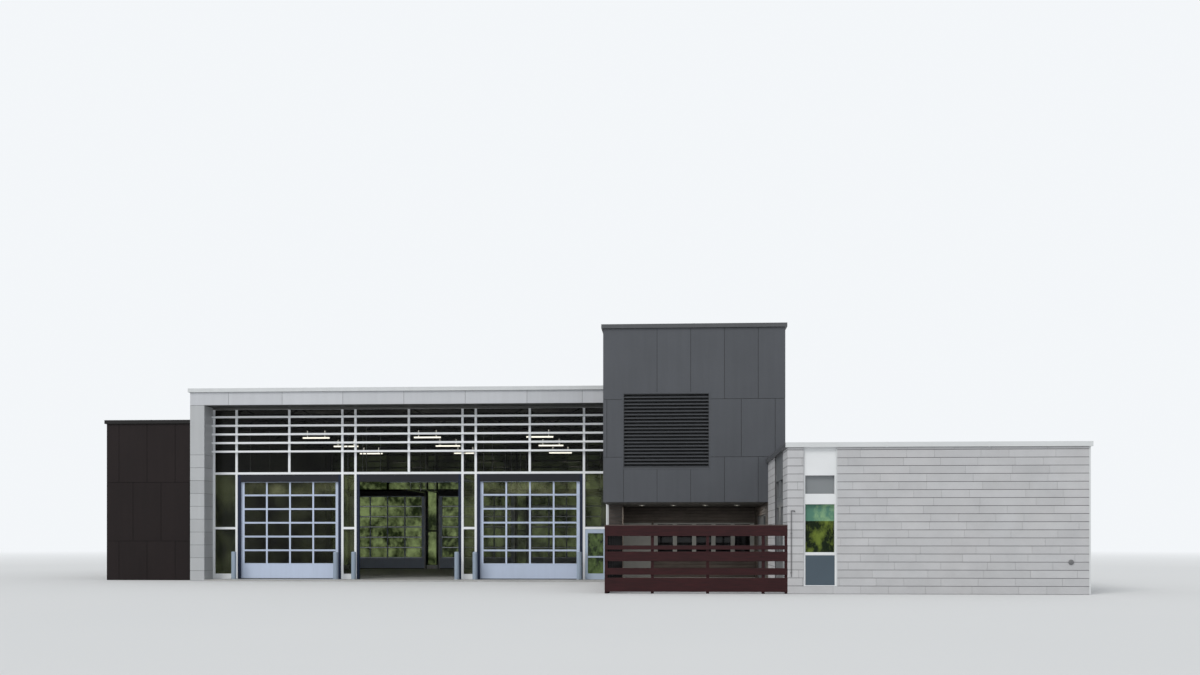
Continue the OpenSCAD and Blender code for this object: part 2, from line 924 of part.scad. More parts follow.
module tower_rear_wall() {
    color("dimgray")
        translate([0, y_tower_r, 0])
            rotate([90, 0, 0])
                linear_extrude(wall_t)
                    polygon([
                        [x_tower + wall_t, 0], [x_wing, 0], [x_wing, under_z], [x_tower_r, under_z],
                        [x_tower_r, tower_wall_h], [x_tower, tower_wall_h],
                        [x_tower, hall_wall_h], [x_tower + wall_t, hall_wall_h]
                    ]);
}

// Floor of the tower, its underside the terrace soffit with recesses for round lights
module tower_floor() {
    color("darkgray")
        difference() {
            span_box([x_tower + wall_t, y_tower + wall_t, under_z],
                     [x_tower_r - wall_t, y_tower_r - wall_t, under_z + deck_t]);
            for (i = [0 : soffit_n - 1]) {
                translate([x_tower + soffit_x + i * soffit_pitch, (y_tower + y_back) / 2, under_z - eps])
                    cylinder(h = soffit_in + eps, d = soffit_dia, $fn = 48);
            }
        }
}

module tower_roof() {
    color("gray")
        span_box([x_tower + wall_t, y_tower + wall_t, tower_wall_h - tower_roof_drop - roof_t],
                 [x_tower_r - wall_t, y_tower_r - wall_t, tower_wall_h - tower_roof_drop]);
}

module tower_coping() {
    z = tower_wall_h;
    color("gray") {
        coping_run([x_tower - coping_out, y_tower - coping_out],
                   [x_tower_r + coping_out, y_tower + coping_seat], z);
        coping_run([x_tower - coping_out, y_tower + coping_seat + coping_joint],
                   [x_tower + coping_seat, y_tower_r - coping_seat - coping_joint], z);
        coping_run([x_tower_r - coping_seat, y_tower + coping_seat + coping_joint],
                   [x_tower_r + coping_out, y_tower_r - coping_seat - coping_joint], z);
        coping_run([x_tower - coping_out, y_tower_r - coping_seat],
                   [x_tower_r + coping_out, y_tower_r + coping_out], z);
    }
}

blade_pitch = (louvre_h - 2 * louvre_edge) / blade_n;

// Profile of a louvre blade: an upright lip at the front, then a slope up and inwards
module blade_profile() {
    lip = 0.25 * blade_pitch;
    rise = 0.75 * blade_pitch;
    polygon([
        [blade_in, 0], [blade_in + blade_t, 0], [blade_in + blade_t, lip - blade_t],
        [louvre_d - blade_in, rise - blade_t], [louvre_d - blade_in, rise], [blade_in, lip]
    ]);
}

// Louvre: a frame around sloping blades that end in it
module tower_louvre() {
    color("slategray")
        translate([x_tower + louvre_x, y_tower, louvre_z]) {
            difference() {
                cube([louvre_w, louvre_d, louvre_h]);
                translate([louvre_edge, -eps, louvre_edge])
                    cube([louvre_w - 2 * louvre_edge, louvre_d + 2 * eps, louvre_h - 2 * louvre_edge]);
            }
            for (i = [0 : blade_n - 1]) {
                translate([louvre_edge - eps, 0, louvre_edge + i * blade_pitch])
                    rotate([90, 0, 90])
                        linear_extrude(louvre_w - 2 * louvre_edge + 2 * eps)
                            blade_profile();
            }
        }
}

// Windows of the terrace back wall
row_x = x_wing - row_gap - row_w;
row_h = terrace_head - terrace_sill;
row_pane_w = (row_w - (row_n + 1) * row_post_w) / row_n;

module terrace_back_wall() {
    color("saddlebrown")
        difference() {
            span_box([x_tower + wall_t, y_back, 0], [x_wing, y_back + wall_t, under_z]);
            translate([row_x, y_back - eps, terrace_sill]) cube([row_w, wall_t + 2 * eps, row_h]);
        }
}

module terrace_windows() {
    color("gainsboro")
        translate([row_x, y_back, terrace_sill])
            difference() {
                cube([row_w, window_t, row_h]);
                for (i = [0 : row_n - 1]) {
                    translate([row_post_w + i * (row_pane_w + row_post_w), -eps, window_w])
                        cube([row_pane_w, window_t + 2 * eps, row_h - 2 * window_w]);
                }
            }
}

module terrace_glass() {
    color("darkslategray")
        translate([row_x, y_back + window_t, terrace_sill]) cube([row_w, glass_t, row_h]);
}

// Pale panel on the back wall, at the left of its windows
module terrace_panel() {
    color("lightgray")
        translate([row_x - pale_gap - pale_w, y_back - pale_t, floor_t])
            cube([pale_w, pale_t, terrace_head - floor_t]);
}

// Boards of the fence, each as its foot and its top
boards = [[60, 526], [625, 846], [1073, 1392], [1461, 1596], [1909, 2205]];

// One fence side along X from the origin, posts behind its boards
module fence_side(l) {
    posts = [0, for (x = [post_lead : post_pitch : l - 3 * post_w]) x, l - post_w];
    for (b = boards) {
        translate([0, 0, b[0]]) cube([l, board_t, b[1] - b[0]]);
    }
    translate([0, 0, boards[4][1] - eps]) cube([l, cap_w, fence_h - boards[4][1] + eps]);
    for (x = posts) {
        translate([x, board_t - eps, 0]) cube([post_w, post_w + eps, boards[4][1]]);
    }
}

module terrace_fence() {
    color("maroon")
        translate([x_tower + fence_x, y_wing, 0]) fence_side(x_wing - x_tower - fence_x);
}

module fence_return() {
    color("maroon")
        translate([x_tower + fence_x, y_portal, 0])
            rotate([0, 0, -90])
                fence_side(y_portal - y_wing - cap_w);
}

// Openings of the wing walls
bay_y0 = y_wing + bay_lead;
screen_y0 = y_wing + screen_lead;
strip_h = wing_wall_h - strip_z;

// Distance from a wall's end to window strip i of n that stand evenly along its length
function strip_at(i, n, l) = (i + 0.5) * l / n - strip_w / 2;

// Cut for windows w wide: through the wall up to their head, and a recess from there to the coping
module strip_cut(w) {
    translate([0, -eps, strip_z]) {
        cube([w, masonry_t + 2 * eps, high_glass[1] + window_w - strip_z]);
        cube([w, window_in + window_t + eps, strip_h + eps]);
    }
}

module wing_front_wall() {
    color("lightgray")
        difference() {
            span_box([x_wing, y_wing, 0], [x_wing_r, y_wing + masonry_t, wing_wall_h]);
            translate([x_wing + strip_x, y_wing, 0]) strip_cut(strip_w);
        }
}

module wing_left_wall() {
    color("lightgray")
        difference() {
            translate([x_wing, 0, 0])
                rotate([90, 0, 90])
                    linear_extrude(masonry_t)
                        polygon([
                            [y_wing + masonry_t, 0], [y_tower_r, 0], [y_tower_r, under_z],
                            [y_tower, under_z], [y_tower, wing_wall_h], [y_wing + masonry_t, wing_wall_h]
                        ]);
            at_left_wall(bay_y0) strip_cut(bay_d);
            translate([x_wing - eps, screen_y0, floor_t])
                cube([masonry_t + 2 * eps, screen_d, screen_h - floor_t]);
        }
}

// Each window strip of the right wall, seen from outside with its foot at the origin
module right_strip_places() {
    for (i = [0 : right_strips - 1]) {
        translate([x_wing_r, y_wing + strip_at(i, right_strips, y_tower_r - y_wing), 0])
            rotate([0, 0, 90])
                children();
    }
}

// Each window strip of the rear wall, beside the tower
module rear_strip_places() {
    for (i = [0 : rear_strips - 1]) {
        translate([x_wing_r - strip_at(i, rear_strips, x_wing_r - x_tower_r), y_tower_r, 0])
            rotate([0, 0, 180])
                children();
    }
}

module wing_right_wall() {
    color("lightgray")
        difference() {
            span_box([x_wing_r - masonry_t, y_wing + masonry_t, 0],
                     [x_wing_r, y_tower_r - masonry_t, wing_wall_h]);
            right_strip_places() strip_cut(strip_w);
        }
}

module wing_rear_wall() {
    color("lightgray")
        difference() {
            translate([0, y_tower_r, 0])
                rotate([90, 0, 0])
                    linear_extrude(masonry_t)
                        polygon([
                            [x_wing + masonry_t, 0], [x_wing_r, 0], [x_wing_r, wing_wall_h],
                            [x_tower_r, wing_wall_h], [x_tower_r, under_z], [x_wing + masonry_t, under_z]
                        ]);
            rear_strip_places() strip_cut(strip_w);
        }
}

module wing_roof() {
    color("gray")
        translate([0, 0, wing_wall_h - wing_roof_drop - roof_t])
            linear_extrude(roof_t)
                polygon([
                    [x_wing + masonry_t, y_wing + masonry_t], [x_wing_r - masonry_t, y_wing + masonry_t],
                    [x_wing_r - masonry_t, y_tower_r - masonry_t], [x_tower_r, y_tower_r - masonry_t],
                    [x_tower_r, y_tower], [x_wing + masonry_t, y_tower]
                ]);
}

module wing_coping() {
    z = wing_wall_h;
    color("gainsboro") {
        coping_run([x_wing - coping_out, y_wing - coping_out],
                   [x_wing_r + coping_out, y_wing + coping_seat], z);
        coping_run([x_wing - coping_out, y_wing + coping_seat + coping_joint],
                   [x_wing + coping_seat, y_tower], z);
        coping_run([x_wing_r - coping_seat, y_wing + coping_seat + coping_joint],
                   [x_wing_r + coping_out, y_tower_r - coping_seat - coping_joint], z);
        coping_run([x_tower_r, y_tower_r - coping_seat],
                   [x_wing_r + coping_out, y_tower_r + coping_out], z);
    }
}

// Pipe axis in front of the wall, and the heights of its brackets
pipe_off = pipe_dia / 2 + 25;
bracket_w = 10;
bracket_h = 40;
pipe_brackets = [pipe_z0 + 3 * bracket_h, pipe_z0 + 0.65 * (pipe_z1 - pipe_z0)];

// Feet and heads of the lower and the upper windows, and the top of the panel below them
low_glass = [low_pane_z, low_pane_z + low_pane_h];
high_glass = [high_pane_z, high_pane_z + high_pane_h];
panel_top = low_pane_z - sill_rail_h;

// Left edges of the panes of the left wall's bay, each with a wide panel before it
bay_pitch = (bay_d - window_w) / bay_cols;
bay_panes = [for (i = [1 : bay_cols]) i * bay_pitch - bay_pane_w];

// Frame of a strip w wide, with a lower and an upper pane of pane_w cut out at each of starts
module strip_frame(w, starts, pane_w) {
    translate([0, window_in, 0])
        difference() {
            translate([0, 0, strip_z]) cube([w, window_t, strip_h]);
            for (x = starts) {
                for (g = [low_glass, high_glass]) {
                    translate([x, -eps, g[0]]) cube([pane_w, window_t + 2 * eps, g[1] - g[0]]);
                }
            }
        }
}

// Pane sheets of a strip, behind its frame
module strip_glass(w) {
    for (g = [low_glass, high_glass]) {
        translate([0, window_in + window_t, g[0]]) cube([w, glass_t, g[1] - g[0]]);
    }
}

// Grey-blue panel at the foot of a strip
module strip_panel(w) {
    translate([0, window_in - panel_t, strip_z]) cube([w, panel_t, panel_top - strip_z]);
}

// Each window strip of the front, right and rear walls
module at_strips() {
    translate([x_wing + strip_x, y_wing, 0]) children();
    right_strip_places() children();
    rear_strip_places() children();
}

module at_left_wall(y) {
    translate([x_wing, y, 0]) rotate([0, 0, -90]) mirror([1, 0, 0]) children();
}

module wing_windows() {
    color("white") {
        at_strips() strip_frame(strip_w, [window_w], strip_w - 2 * window_w);
        at_left_wall(bay_y0) strip_frame(bay_d, bay_panes, bay_pane_w);
        at_left_wall(screen_y0)
            translate([0, window_in, floor_t])
                grid_frame(screen_d, screen_h - floor_t, window_t, 5, 2, window_w, window_w);
    }
}

module wing_spandrels() {
    color("lightslategray") {
        at_strips() strip_panel(strip_w);
        at_left_wall(bay_y0) {
            strip_panel(bay_d);
            translate([0, window_in - panel_t, high_glass[1]])
                cube([bay_d, panel_t, wing_wall_h - high_glass[1]]);
        }
    }
}

module wing_glass() {
    color("darkseagreen") {
        at_strips() strip_glass(strip_w);
        at_left_wall(bay_y0) strip_glass(bay_d);
        at_left_wall(screen_y0)
            translate([0, window_in + window_t, floor_t]) cube([screen_d, glass_t, screen_h - floor_t]);
    }
}

// Pipe up the front wall beside its left corner, with two brackets and a bent-over outlet
module wall_pipe() {
    r = pipe_dia / 2;
    color("silver")
        translate([x_wing + pipe_x, y_wing - pipe_off, 0]) {
            translate([0, 0, pipe_z0]) cylinder(h = pipe_z1 - pipe_z0, r = r, $fn = 32);
            translate([0, 0, pipe_z1]) sphere(r = r, $fn = 32);
            translate([0, 0, pipe_z1]) rotate([0, 90, 0]) cylinder(h = pipe_outlet, r = r, $fn = 32);
            translate([pipe_outlet, 0, pipe_z1]) sphere(r = r, $fn = 32);
            translate([pipe_outlet, 0, pipe_z1 - pipe_drop]) cylinder(h = pipe_drop, r = r, $fn = 32);
            for (z = pipe_brackets) {
                translate([-r - bracket_w, 0, z]) cube([2 * (r + bracket_w), pipe_off, bracket_h]);
            }
        }
}

floor_slabs();
hall_left_wall();
hall_right_wall();
hall_roof();
roof_joists();
portal_legs();
portal_fascias();
hall_coping();
front_upper_frame();
front_bay_frames();
front_glass();
man_door_frame();
man_door_leaf();
man_door_glass();
man_door_handle();
overhead_door_left();
overhead_door_middle();
overhead_door_right();
overhead_door_glass();
door_tracks();
track_bends();
track_runs();
track_hangers();
door_jambs();
door_headers();
rear_upper_frame();
rear_bay_frames();
rear_glass();
rear_overhead_doors();
bollards();
ceiling_lights();
block_front_wall();
block_side_wall();
block_rear_wall();
block_roof();
block_coping();
tower_front_wall();
tower_side_walls();
tower_rear_wall();
tower_floor();
tower_roof();
tower_coping();
tower_louvre();
terrace_back_wall();
terrace_windows();
terrace_glass();
terrace_panel();
terrace_fence();
fence_return();
wing_front_wall();
wing_left_wall();
wing_right_wall();
wing_rear_wall();
wing_roof();
wing_coping();
wing_windows();
wing_spandrels();
wing_glass();
wall_pipe();
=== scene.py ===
import itertools
import math
import random

import bpy
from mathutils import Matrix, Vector

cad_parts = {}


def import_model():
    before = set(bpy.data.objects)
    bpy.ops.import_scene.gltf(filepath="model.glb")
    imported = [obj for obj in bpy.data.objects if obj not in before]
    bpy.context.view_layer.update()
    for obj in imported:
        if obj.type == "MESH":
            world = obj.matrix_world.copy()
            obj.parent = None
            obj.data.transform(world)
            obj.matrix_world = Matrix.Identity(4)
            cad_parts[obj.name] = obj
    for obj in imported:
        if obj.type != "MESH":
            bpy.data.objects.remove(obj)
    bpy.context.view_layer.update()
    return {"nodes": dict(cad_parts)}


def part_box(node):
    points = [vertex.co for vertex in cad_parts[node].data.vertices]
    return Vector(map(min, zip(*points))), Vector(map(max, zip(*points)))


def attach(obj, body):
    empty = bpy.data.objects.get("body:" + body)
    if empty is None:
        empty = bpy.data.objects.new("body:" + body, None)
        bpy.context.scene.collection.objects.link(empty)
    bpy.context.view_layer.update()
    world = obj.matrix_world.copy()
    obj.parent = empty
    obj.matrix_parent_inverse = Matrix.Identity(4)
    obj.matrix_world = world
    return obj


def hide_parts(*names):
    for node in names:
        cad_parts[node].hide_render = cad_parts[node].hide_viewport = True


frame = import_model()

random.seed(11)

# Where the photograph was taken from
CAMERA_AT = (5.670, -57.45, 1.81)
CAMERA_YAW = math.radians(3.31)
CAMERA_LENS = 37.32
CAMERA_SHIFT = 0.1679

# Plates: how far one is let into its wall, and the size under which one is left out
SUNK = 0.002
LEAST = 0.02

# Cladding panels: the joint between two, their thickness, and the bevel of a plate's edges
JOINT = 0.014
SKIN = 0.008
BEVEL = 0.003

# Masonry: height of a course, its bed joint and butt joint, the lengths of its blocks, and
# how far they stand out of the mortar
COURSE = 0.2635
BED = 0.016
BUTT = 0.005
BLOCK_LENGTHS = (0.9, 1.2, 1.5, 1.8)
BLOCK_SKIN = 0.012

# Boards: their height, thickness and length, and the gaps between two rows and two ends
BOARD = 0.145
BOARD_T = 0.022
BOARD_LENGTH = 2.4
BOARD_GAP = 0.010
BOARD_BUTT = 0.004


def low(node):
    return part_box(node)[0]


def high(node):
    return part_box(node)[1]


# Places along X, Y and Z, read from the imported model
X_BLOCK = low("block_front_wall").x
X_LEG, Y_PORTAL, _ = low("portal_legs")
X_LEG_R, Y_REAR, _ = high("portal_legs")
X_GLAZE, _, UPPER_Z = low("front_upper_frame")
X_TOWER, Y_TOWER, UNDER = low("tower_front_wall")
X_WING, Y_WING, _ = low("wing_front_wall")
X_TOWER_R = high("tower_front_wall").x
X_HALL_R = high("hall_right_wall").x
X_WING_R = high("wing_front_wall").x
Y_GLAZE = low("front_bay_frames").y
Y_REAR_GLAZE = high("rear_bay_frames").y
Y_TOWER_R = high("tower_rear_wall").y
Y_BACK = low("terrace_back_wall").y
FLOOR = high("floor_slabs").z
SOFFIT = high("front_upper_frame").z
HALL_TOP = low("hall_coping").z
BLOCK_TOP = low("block_coping").z
TOWER_TOP = low("tower_coping").z
WING_TOP = low("wing_coping").z
WALL = high("block_side_wall").x - X_BLOCK
REVEAL = Y_GLAZE - Y_PORTAL
LEG_D = low("hall_left_wall").y - Y_PORTAL
FRAME_D = high("front_bay_frames").y - Y_GLAZE

# A height or length past the end of every wall, for holes that run out of it
FAR = 99

# Heights where a glass changes: the teal head and the grey upper panes of the wing, the top
# panes of the overhead doors, and the rear glass, which darkens upwards
TEAL_Z = 2.40
HIGH_PANE_Z = 3.10
TOP_ROW_Z = 3.66
FADE_Z = 5.0

# Fence: thickness of a board, behind which its posts stand, and where its top edge turns lighter
FENCE_BOARD = 0.0447
FENCE_CAP_Z = 2.195

# The hall's bays, from the widths of its mullions, jambs and doors
DOOR_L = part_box("overhead_door_left")
DOOR_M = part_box("overhead_door_middle")
DOOR_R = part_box("overhead_door_right")
PITCH = DOOR_M[0].x - DOOR_L[0].x
DOOR_BAY = 4.71
SIDE_BAY = 1.01
MULLION = 0.1
HALF_PIER = (PITCH - DOOR_BAY) / 2
BAY_X = [X_GLAZE + MULLION / 2 + SIDE_BAY + i * PITCH for i in range(3)]

# Bollards beside each door: how far inside the bay's left mullion and its right one
BOLLARD_LEFT = 0.04
BOLLARD_RIGHT = 0.17


class Wall:
    """A plane to build on: u runs along it, v up it, and w out of it, in metres."""

    def __init__(self, origin, along, out, up=(0, 0, 1)):
        self.origin = Vector(origin)
        self.along = Vector(along)
        self.out = Vector(out)
        self.up = Vector(up)
        self.mirrored = self.along.cross(self.up).dot(self.out) < 0

    def at(self, u, v, w):
        return tuple(self.origin + self.along * u + self.up * v + self.out * w)


# Walls seen from outside, each with u to the right as one looks at it
def front(x, y, z=0):
    return Wall((x, y, z), (1, 0, 0), (0, -1, 0))


def rear(x, y, z=0):
    return Wall((x, y, z), (-1, 0, 0), (0, 1, 0))


def left(x, y):
    return Wall((x, y, 0), (0, -1, 0), (-1, 0, 0))


def right(x, y):
    return Wall((x, y, 0), (0, 1, 0), (1, 0, 0))


def below(z):
    """A soffit: u along X and v along Y, facing down."""
    return Wall((0, 0, z), (1, 0, 0), (0, 0, -1), (0, 1, 0))


def placed(name, data, **values):
    """A new object in the scene, made of a mesh, a light or the camera, with its data's values."""
    for key, value in values.items():
        setattr(data, key, value)
    made = bpy.data.objects.new(name, data)
    bpy.context.scene.collection.objects.link(made)
    return made


def wound(points, spots, way):
    """The spots of a flat face in order round it, as seen from the side that way points to."""
    normal = Vector(way)
    side = normal.orthogonal()
    other = normal.cross(side)
    centre = sum((Vector(points[i]) for i in spots), Vector()) / len(spots)

    def angle(i):
        arm = Vector(points[i]) - centre
        return math.atan2(arm.dot(other), arm.dot(side))

    return sorted(spots, key=angle)


class Shape:
    """Gathers closed solids, each with a tone from 0 to 1, and makes one object of them."""

    def __init__(self):
        self.points = []
        self.faces = []
        self.tones = []

    def solid(self, points, faces, tone=0.5, mirrored=False):
        start = len(self.points)
        self.points += points
        for face in faces:
            ring = [start + i for i in face]
            self.faces.append(ring[::-1] if mirrored else ring)
            self.tones.append(tone)

    def loft(self, rings, tone=0.5, mirrored=False):
        """A solid through rings of points, with its two ends closed."""
        count = len(rings[0])
        points = [point for ring in rings for point in ring]
        last = len(points) - count
        faces = [list(range(count))[::-1], list(range(last, len(points)))]
        for a in range(0, last, count):
            for i in range(count):
                j = (i + 1) % count
                faces.append([a + i, a + j, a + count + j, a + count + i])
        self.solid(points, faces, tone, mirrored)

    def slab(self, wall, rect, w0, w1, bevel=0.0, tone=0.5):
        """A plate on a wall over rect, from w0 to w1 out of it, with bevelled front edges."""
        steps = [(0.0, w0), (0.0, w1 - bevel)] + ([(bevel, w1)] if bevel else [])
        rings = []
        for inset, w in steps:
            a, b, c, d = grown(rect, -inset)
            rings.append([wall.at(a, b, w), wall.at(c, b, w), wall.at(c, d, w), wall.at(a, d, w)])
        self.loft(rings, tone, wall.mirrored)

    def box(self, lo, hi, tone=0.5, bevel=0.0):
        """An upright box, with all of its edges bevelled where bevel is given."""
        if not bevel:
            rect = (0, 0, hi[0] - lo[0], hi[2] - lo[2])
            self.slab(front(*lo), rect, lo[1] - hi[1], 0, 0, tone)
            return
        corners = [(k, side) for k in range(3) for side in itertools.product((-1, 1), repeat=3)]
        points = []
        for k, side in corners:
            cut = [0 if axis == k else bevel for axis in range(3)]
            points.append(tuple(hi[i] - cut[i] if side[i] > 0 else lo[i] + cut[i] for i in range(3)))
        faces = []
        for way in itertools.product((-1, 0, 1), repeat=3):
            spots = [i for i, (k, side) in enumerate(corners)
                     if way[k] and all(w in (0, s) for w, s in zip(way, side))]
            if spots:
                faces.append(wound(points, spots, way))
        self.solid(points, faces, tone)

    def rod(self, a, b, rings, sides=32):
        """A round bar from a to b, whose rings are given as (share of its length, radius)."""
        a, b = Vector(a), Vector(b)
        axis = (b - a).normalized()
        side = axis.orthogonal().normalized()
        other = axis.cross(side)
        turns = [2 * math.pi * i / sides for i in range(sides)]
        spokes = [side * math.cos(turn) + other * math.sin(turn) for turn in turns]
        self.loft([[tuple(a.lerp(b, share) + spoke * r) for spoke in spokes] for share, r in rings])

    def hoop(self, centre, outline, sides=32):
        """A closed outline of (radius, height) points turned about an upright axis."""
        points, faces = [], []
        count = len(outline)
        for i in range(sides):
            turn = 2 * math.pi * i / sides
            way = Vector((math.cos(turn), math.sin(turn), 0))
            for k, (radius, height) in enumerate(outline):
                points.append(tuple(Vector(centre) + way * radius + Vector((0, 0, height))))
                a, b = i * count, (i + 1) % sides * count
                m = (k + 1) % count
                faces.append([a + k, a + m, b + m, b + k])
        self.solid(points, faces)

    def make(self, name, finish, slot, replaces=(), smooth=False):
        mesh = bpy.data.meshes.new(name)
        mesh.from_pydata(self.points, [], self.faces)
        tone = mesh.attributes.new("tone", "FLOAT", "FACE")
        tone.data.foreach_set("value", self.tones)
        mesh.materials.append(finish)
        mesh.update()
        if smooth:
            mesh.shade_smooth()
            mesh.set_sharp_from_angle(angle=math.radians(40))
        piece = placed(name, mesh)
        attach(piece, "building")
        if replaces:
            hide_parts(*replaces)


def grown(rect, by):
    """A rectangle (u0, v0, u1, v1) that reaches further on all sides."""
    return rect[0] - by, rect[1] - by, rect[2] + by, rect[3] + by


def ring(rect, wide):
    """The four strips of a frame that runs round just inside a rectangle."""
    u0, v0, u1, v1 = rect
    return ((u0, v0, u1, v0 + wide), (u0, v1 - wide, u1, v1),
            (u0, v0 + wide, u0 + wide, v1 - wide), (u1 - wide, v0 + wide, u1, v1 - wide))


def minus(rect, hole):
    """The parts of a rectangle outside a hole, both as (u0, v0, u1, v1)."""
    u0, v0, u1, v1 = rect
    a, b, c, d = max(u0, hole[0]), max(v0, hole[1]), min(u1, hole[2]), min(v1, hole[3])
    if a >= c or b >= d:
        return [rect]
    parts = [(u0, v0, u1, b), (u0, d, u1, v1), (u0, b, a, d), (c, b, u1, d)]
    return [p for p in parts if p[2] - p[0] > 1e-4 and p[3] - p[1] > 1e-4]


def cover(shape, wall, rows, holes=(), joint=(JOINT, JOINT), skin=SKIN, bevel=BEVEL):
    """Covers a wall with plates: rows are (v0, v1, [u of each upright joint])."""
    half_u, half_v = joint[0] / 2, joint[1] / 2
    for v0, v1, marks in rows:
        for u0, u1 in zip(marks, marks[1:]):
            if u1 - u0 < LEAST or v1 - v0 < LEAST:
                continue
            tone = random.random()
            rect = (u0 + half_u, v0 + half_v, u1 - half_u, v1 - half_v)
            parts = [rect]
            for hole in holes:
                parts = [p for part in parts for p in minus(part, hole)]
            whole = parts == [rect]
            for part in parts:
                shape.slab(wall, part, -SUNK, skin, bevel if whole else 0.0, tone)


def stops(start, end, pitch, first=None):
    """Joint places from start to end: the ends, and each pitch from first."""
    near = 0.05
    u = start + pitch if first is None else first
    found = [start]
    while u < end - near:
        if u > start + near:
            found.append(u)
        u += pitch
    return found + [end]


def evenly(start, end, count):
    """The places that divide a length into count equal parts."""
    return [start + i * (end - start) / count for i in range(1, count)]


# Materials. Every finish is built from nodes, and nothing is read from an image.


class Nodes:
    """Short ways of adding nodes to a tree."""

    def __init__(self, tree):
        self.tree = tree

    def fill(self, node, sockets):
        """Sets a node's inputs, each to a number, a colour or the output of another node."""
        for name, value in sockets.items():
            if isinstance(value, bpy.types.NodeSocket):
                self.tree.links.new(value, node.inputs[name])
            else:
                node.inputs[name].default_value = value

    def node(self, kind, sockets=None, **values):
        made = self.tree.nodes.new(kind)
        for name, value in values.items():
            setattr(made, name, value)
        self.fill(made, sockets or {})
        return made

    def product(self, a, b):
        return self.node("ShaderNodeMath", {0: a, 1: b}, operation="MULTIPLY").outputs[0]

    def either(self, a, b):
        return self.node("ShaderNodeMath", {0: a, 1: b}, operation="MAXIMUM").outputs[0]

    def light(self, kind, colour, strength=1.0):
        """The output of an Emission or Background node of one colour."""
        return self.node(kind, {"Color": (*colour, 1), "Strength": strength}).outputs[0]

    def surface(self, output, share, a, b):
        """Sends shader a to an output node where share is 0, and b where it is 1."""
        mixed = self.node("ShaderNodeMixShader", {0: share, 1: a, 2: b})
        self.fill(output, {"Surface": mixed.outputs[0]})


class Finish(Nodes):
    """A Principled material that its function fills in."""

    def __init__(self, name, rough=0.5, specular=0.5, metal=0.0):
        self.mat = bpy.data.materials.new(name)
        self.mat.use_nodes = True
        super().__init__(self.mat.node_tree)
        self.shader = self.tree.nodes["Principled BSDF"]
        self.set("Roughness", rough)
        self.set("Specular IOR Level", specular)
        self.set("Metallic", metal)
        self.coordinates = self.node("ShaderNodeTexCoord").outputs

    def set(self, name, value):
        self.fill(self.shader, {name: value})

    def colour(self, output):
        self.set("Base Color", output)

    def noise(self, scale, detail=3.0, stretch=(1, 1, 1), rough=0.55):
        """Noise from 0 to 1 in the part's own metres, stretched along an axis where asked."""
        spread = self.node("ShaderNodeMapping", {0: self.coordinates["Object"], "Scale": stretch})
        sockets = {"Vector": spread.outputs[0], "Scale": scale, "Detail": detail, "Roughness": rough}
        return self.node("ShaderNodeTexNoise", sockets).outputs["Fac"]

    def remap(self, value, a, b, c, d):
        """Spreads a value's range from a to b over the range from c to d."""
        sockets = {"Value": value, "From Min": a, "From Max": b, "To Min": c, "To Max": d}
        return self.node("ShaderNodeMapRange", sockets).outputs[0]

    def vary(self, least, most, *noise, span=(0.3, 0.7), rough=0.55):
        """Noise whose values over span are spread from least to most."""
        return self.remap(self.noise(*noise, rough=rough), *span, least, most)

    def blend(self, share, a, b):
        """Colour a where share is 0 and b where it is 1; each is a colour or an output."""
        a, b = [(*colour, 1) if isinstance(colour, tuple) else colour for colour in (a, b)]
        return self.node("ShaderNodeMix", {0: share, 6: a, 7: b}, data_type="RGBA").outputs[2]

    def darken(self, colour, factor):
        """The colour times a factor, which is an output."""
        scale = self.node("ShaderNodeVectorMath", {0: colour, "Scale": factor}, operation="SCALE")
        return scale.outputs[0]

    def tone(self, least, most):
        """A factor from the tone that each plate, block or board carries."""
        tones = self.node("ShaderNodeAttribute", attribute_name="tone")
        return self.remap(tones.outputs["Fac"], 0, 1, least, most)

    def along(self, axis, kind):
        """One of the three numbers of a place or of a face's direction."""
        return self.node("ShaderNodeSeparateXYZ", {0: self.coordinates[kind]}).outputs[axis]

    def beyond(self, axis, place, soft=0.01, to=(0, 1)):
        """A share that is 0 up to a place on an axis and 1 past it, or the two values given."""
        return self.remap(self.along(axis, "Object"), place, place + soft, *to)

    def facing_down(self, axis):
        """A share that is 1 on faces that look down an axis, and 0 on the others."""
        return self.remap(self.along(axis, "Normal"), -0.5, -0.6, 0, 1)

    def bump(self, height, depth, strength):
        sockets = {"Height": height, "Distance": depth, "Strength": strength}
        self.set("Normal", self.node("ShaderNodeBump", sockets).outputs[0])

    def paint(self, rough, peel=True):
        """Gloss of a painted sheet, which varies a little, and its fine orange peel."""
        self.set("Roughness", self.vary(rough - 0.06, rough + 0.06, 9, 4))
        if peel:
            self.bump(self.noise(260, 2), 0.0004, 0.35)


def scaled(colour, factor):
    return tuple(c * factor for c in colour)


def painted(name, colour, rough=0.42, spread=0.05, toned=False, specular=0.4, above=None):
    """Painted sheet: soft clouding, faint runs down the face, and a fine orange peel.

    above is (height, colour): from that height up the colour is another, which paints light on the
    portal's fascias and shade on the frames' heads.
    """
    made = Finish(name, rough, specular)
    base = made.blend(made.vary(0, 1, 0.6, 4), scaled(colour, 1 - spread), scaled(colour, 1 + spread))
    if above:
        base = made.blend(made.beyond("Z", above[0], 0.005), base, above[1])
    streak = spread * 0.6
    runs = made.vary(1 - streak, 1 + streak, 5, 3, (1, 1, 0.06), span=(0.35, 0.65))
    if toned:
        runs = made.product(runs, made.tone(0.94, 1.06))
    made.colour(made.darken(base, runs))
    made.paint(rough)
    return made.mat


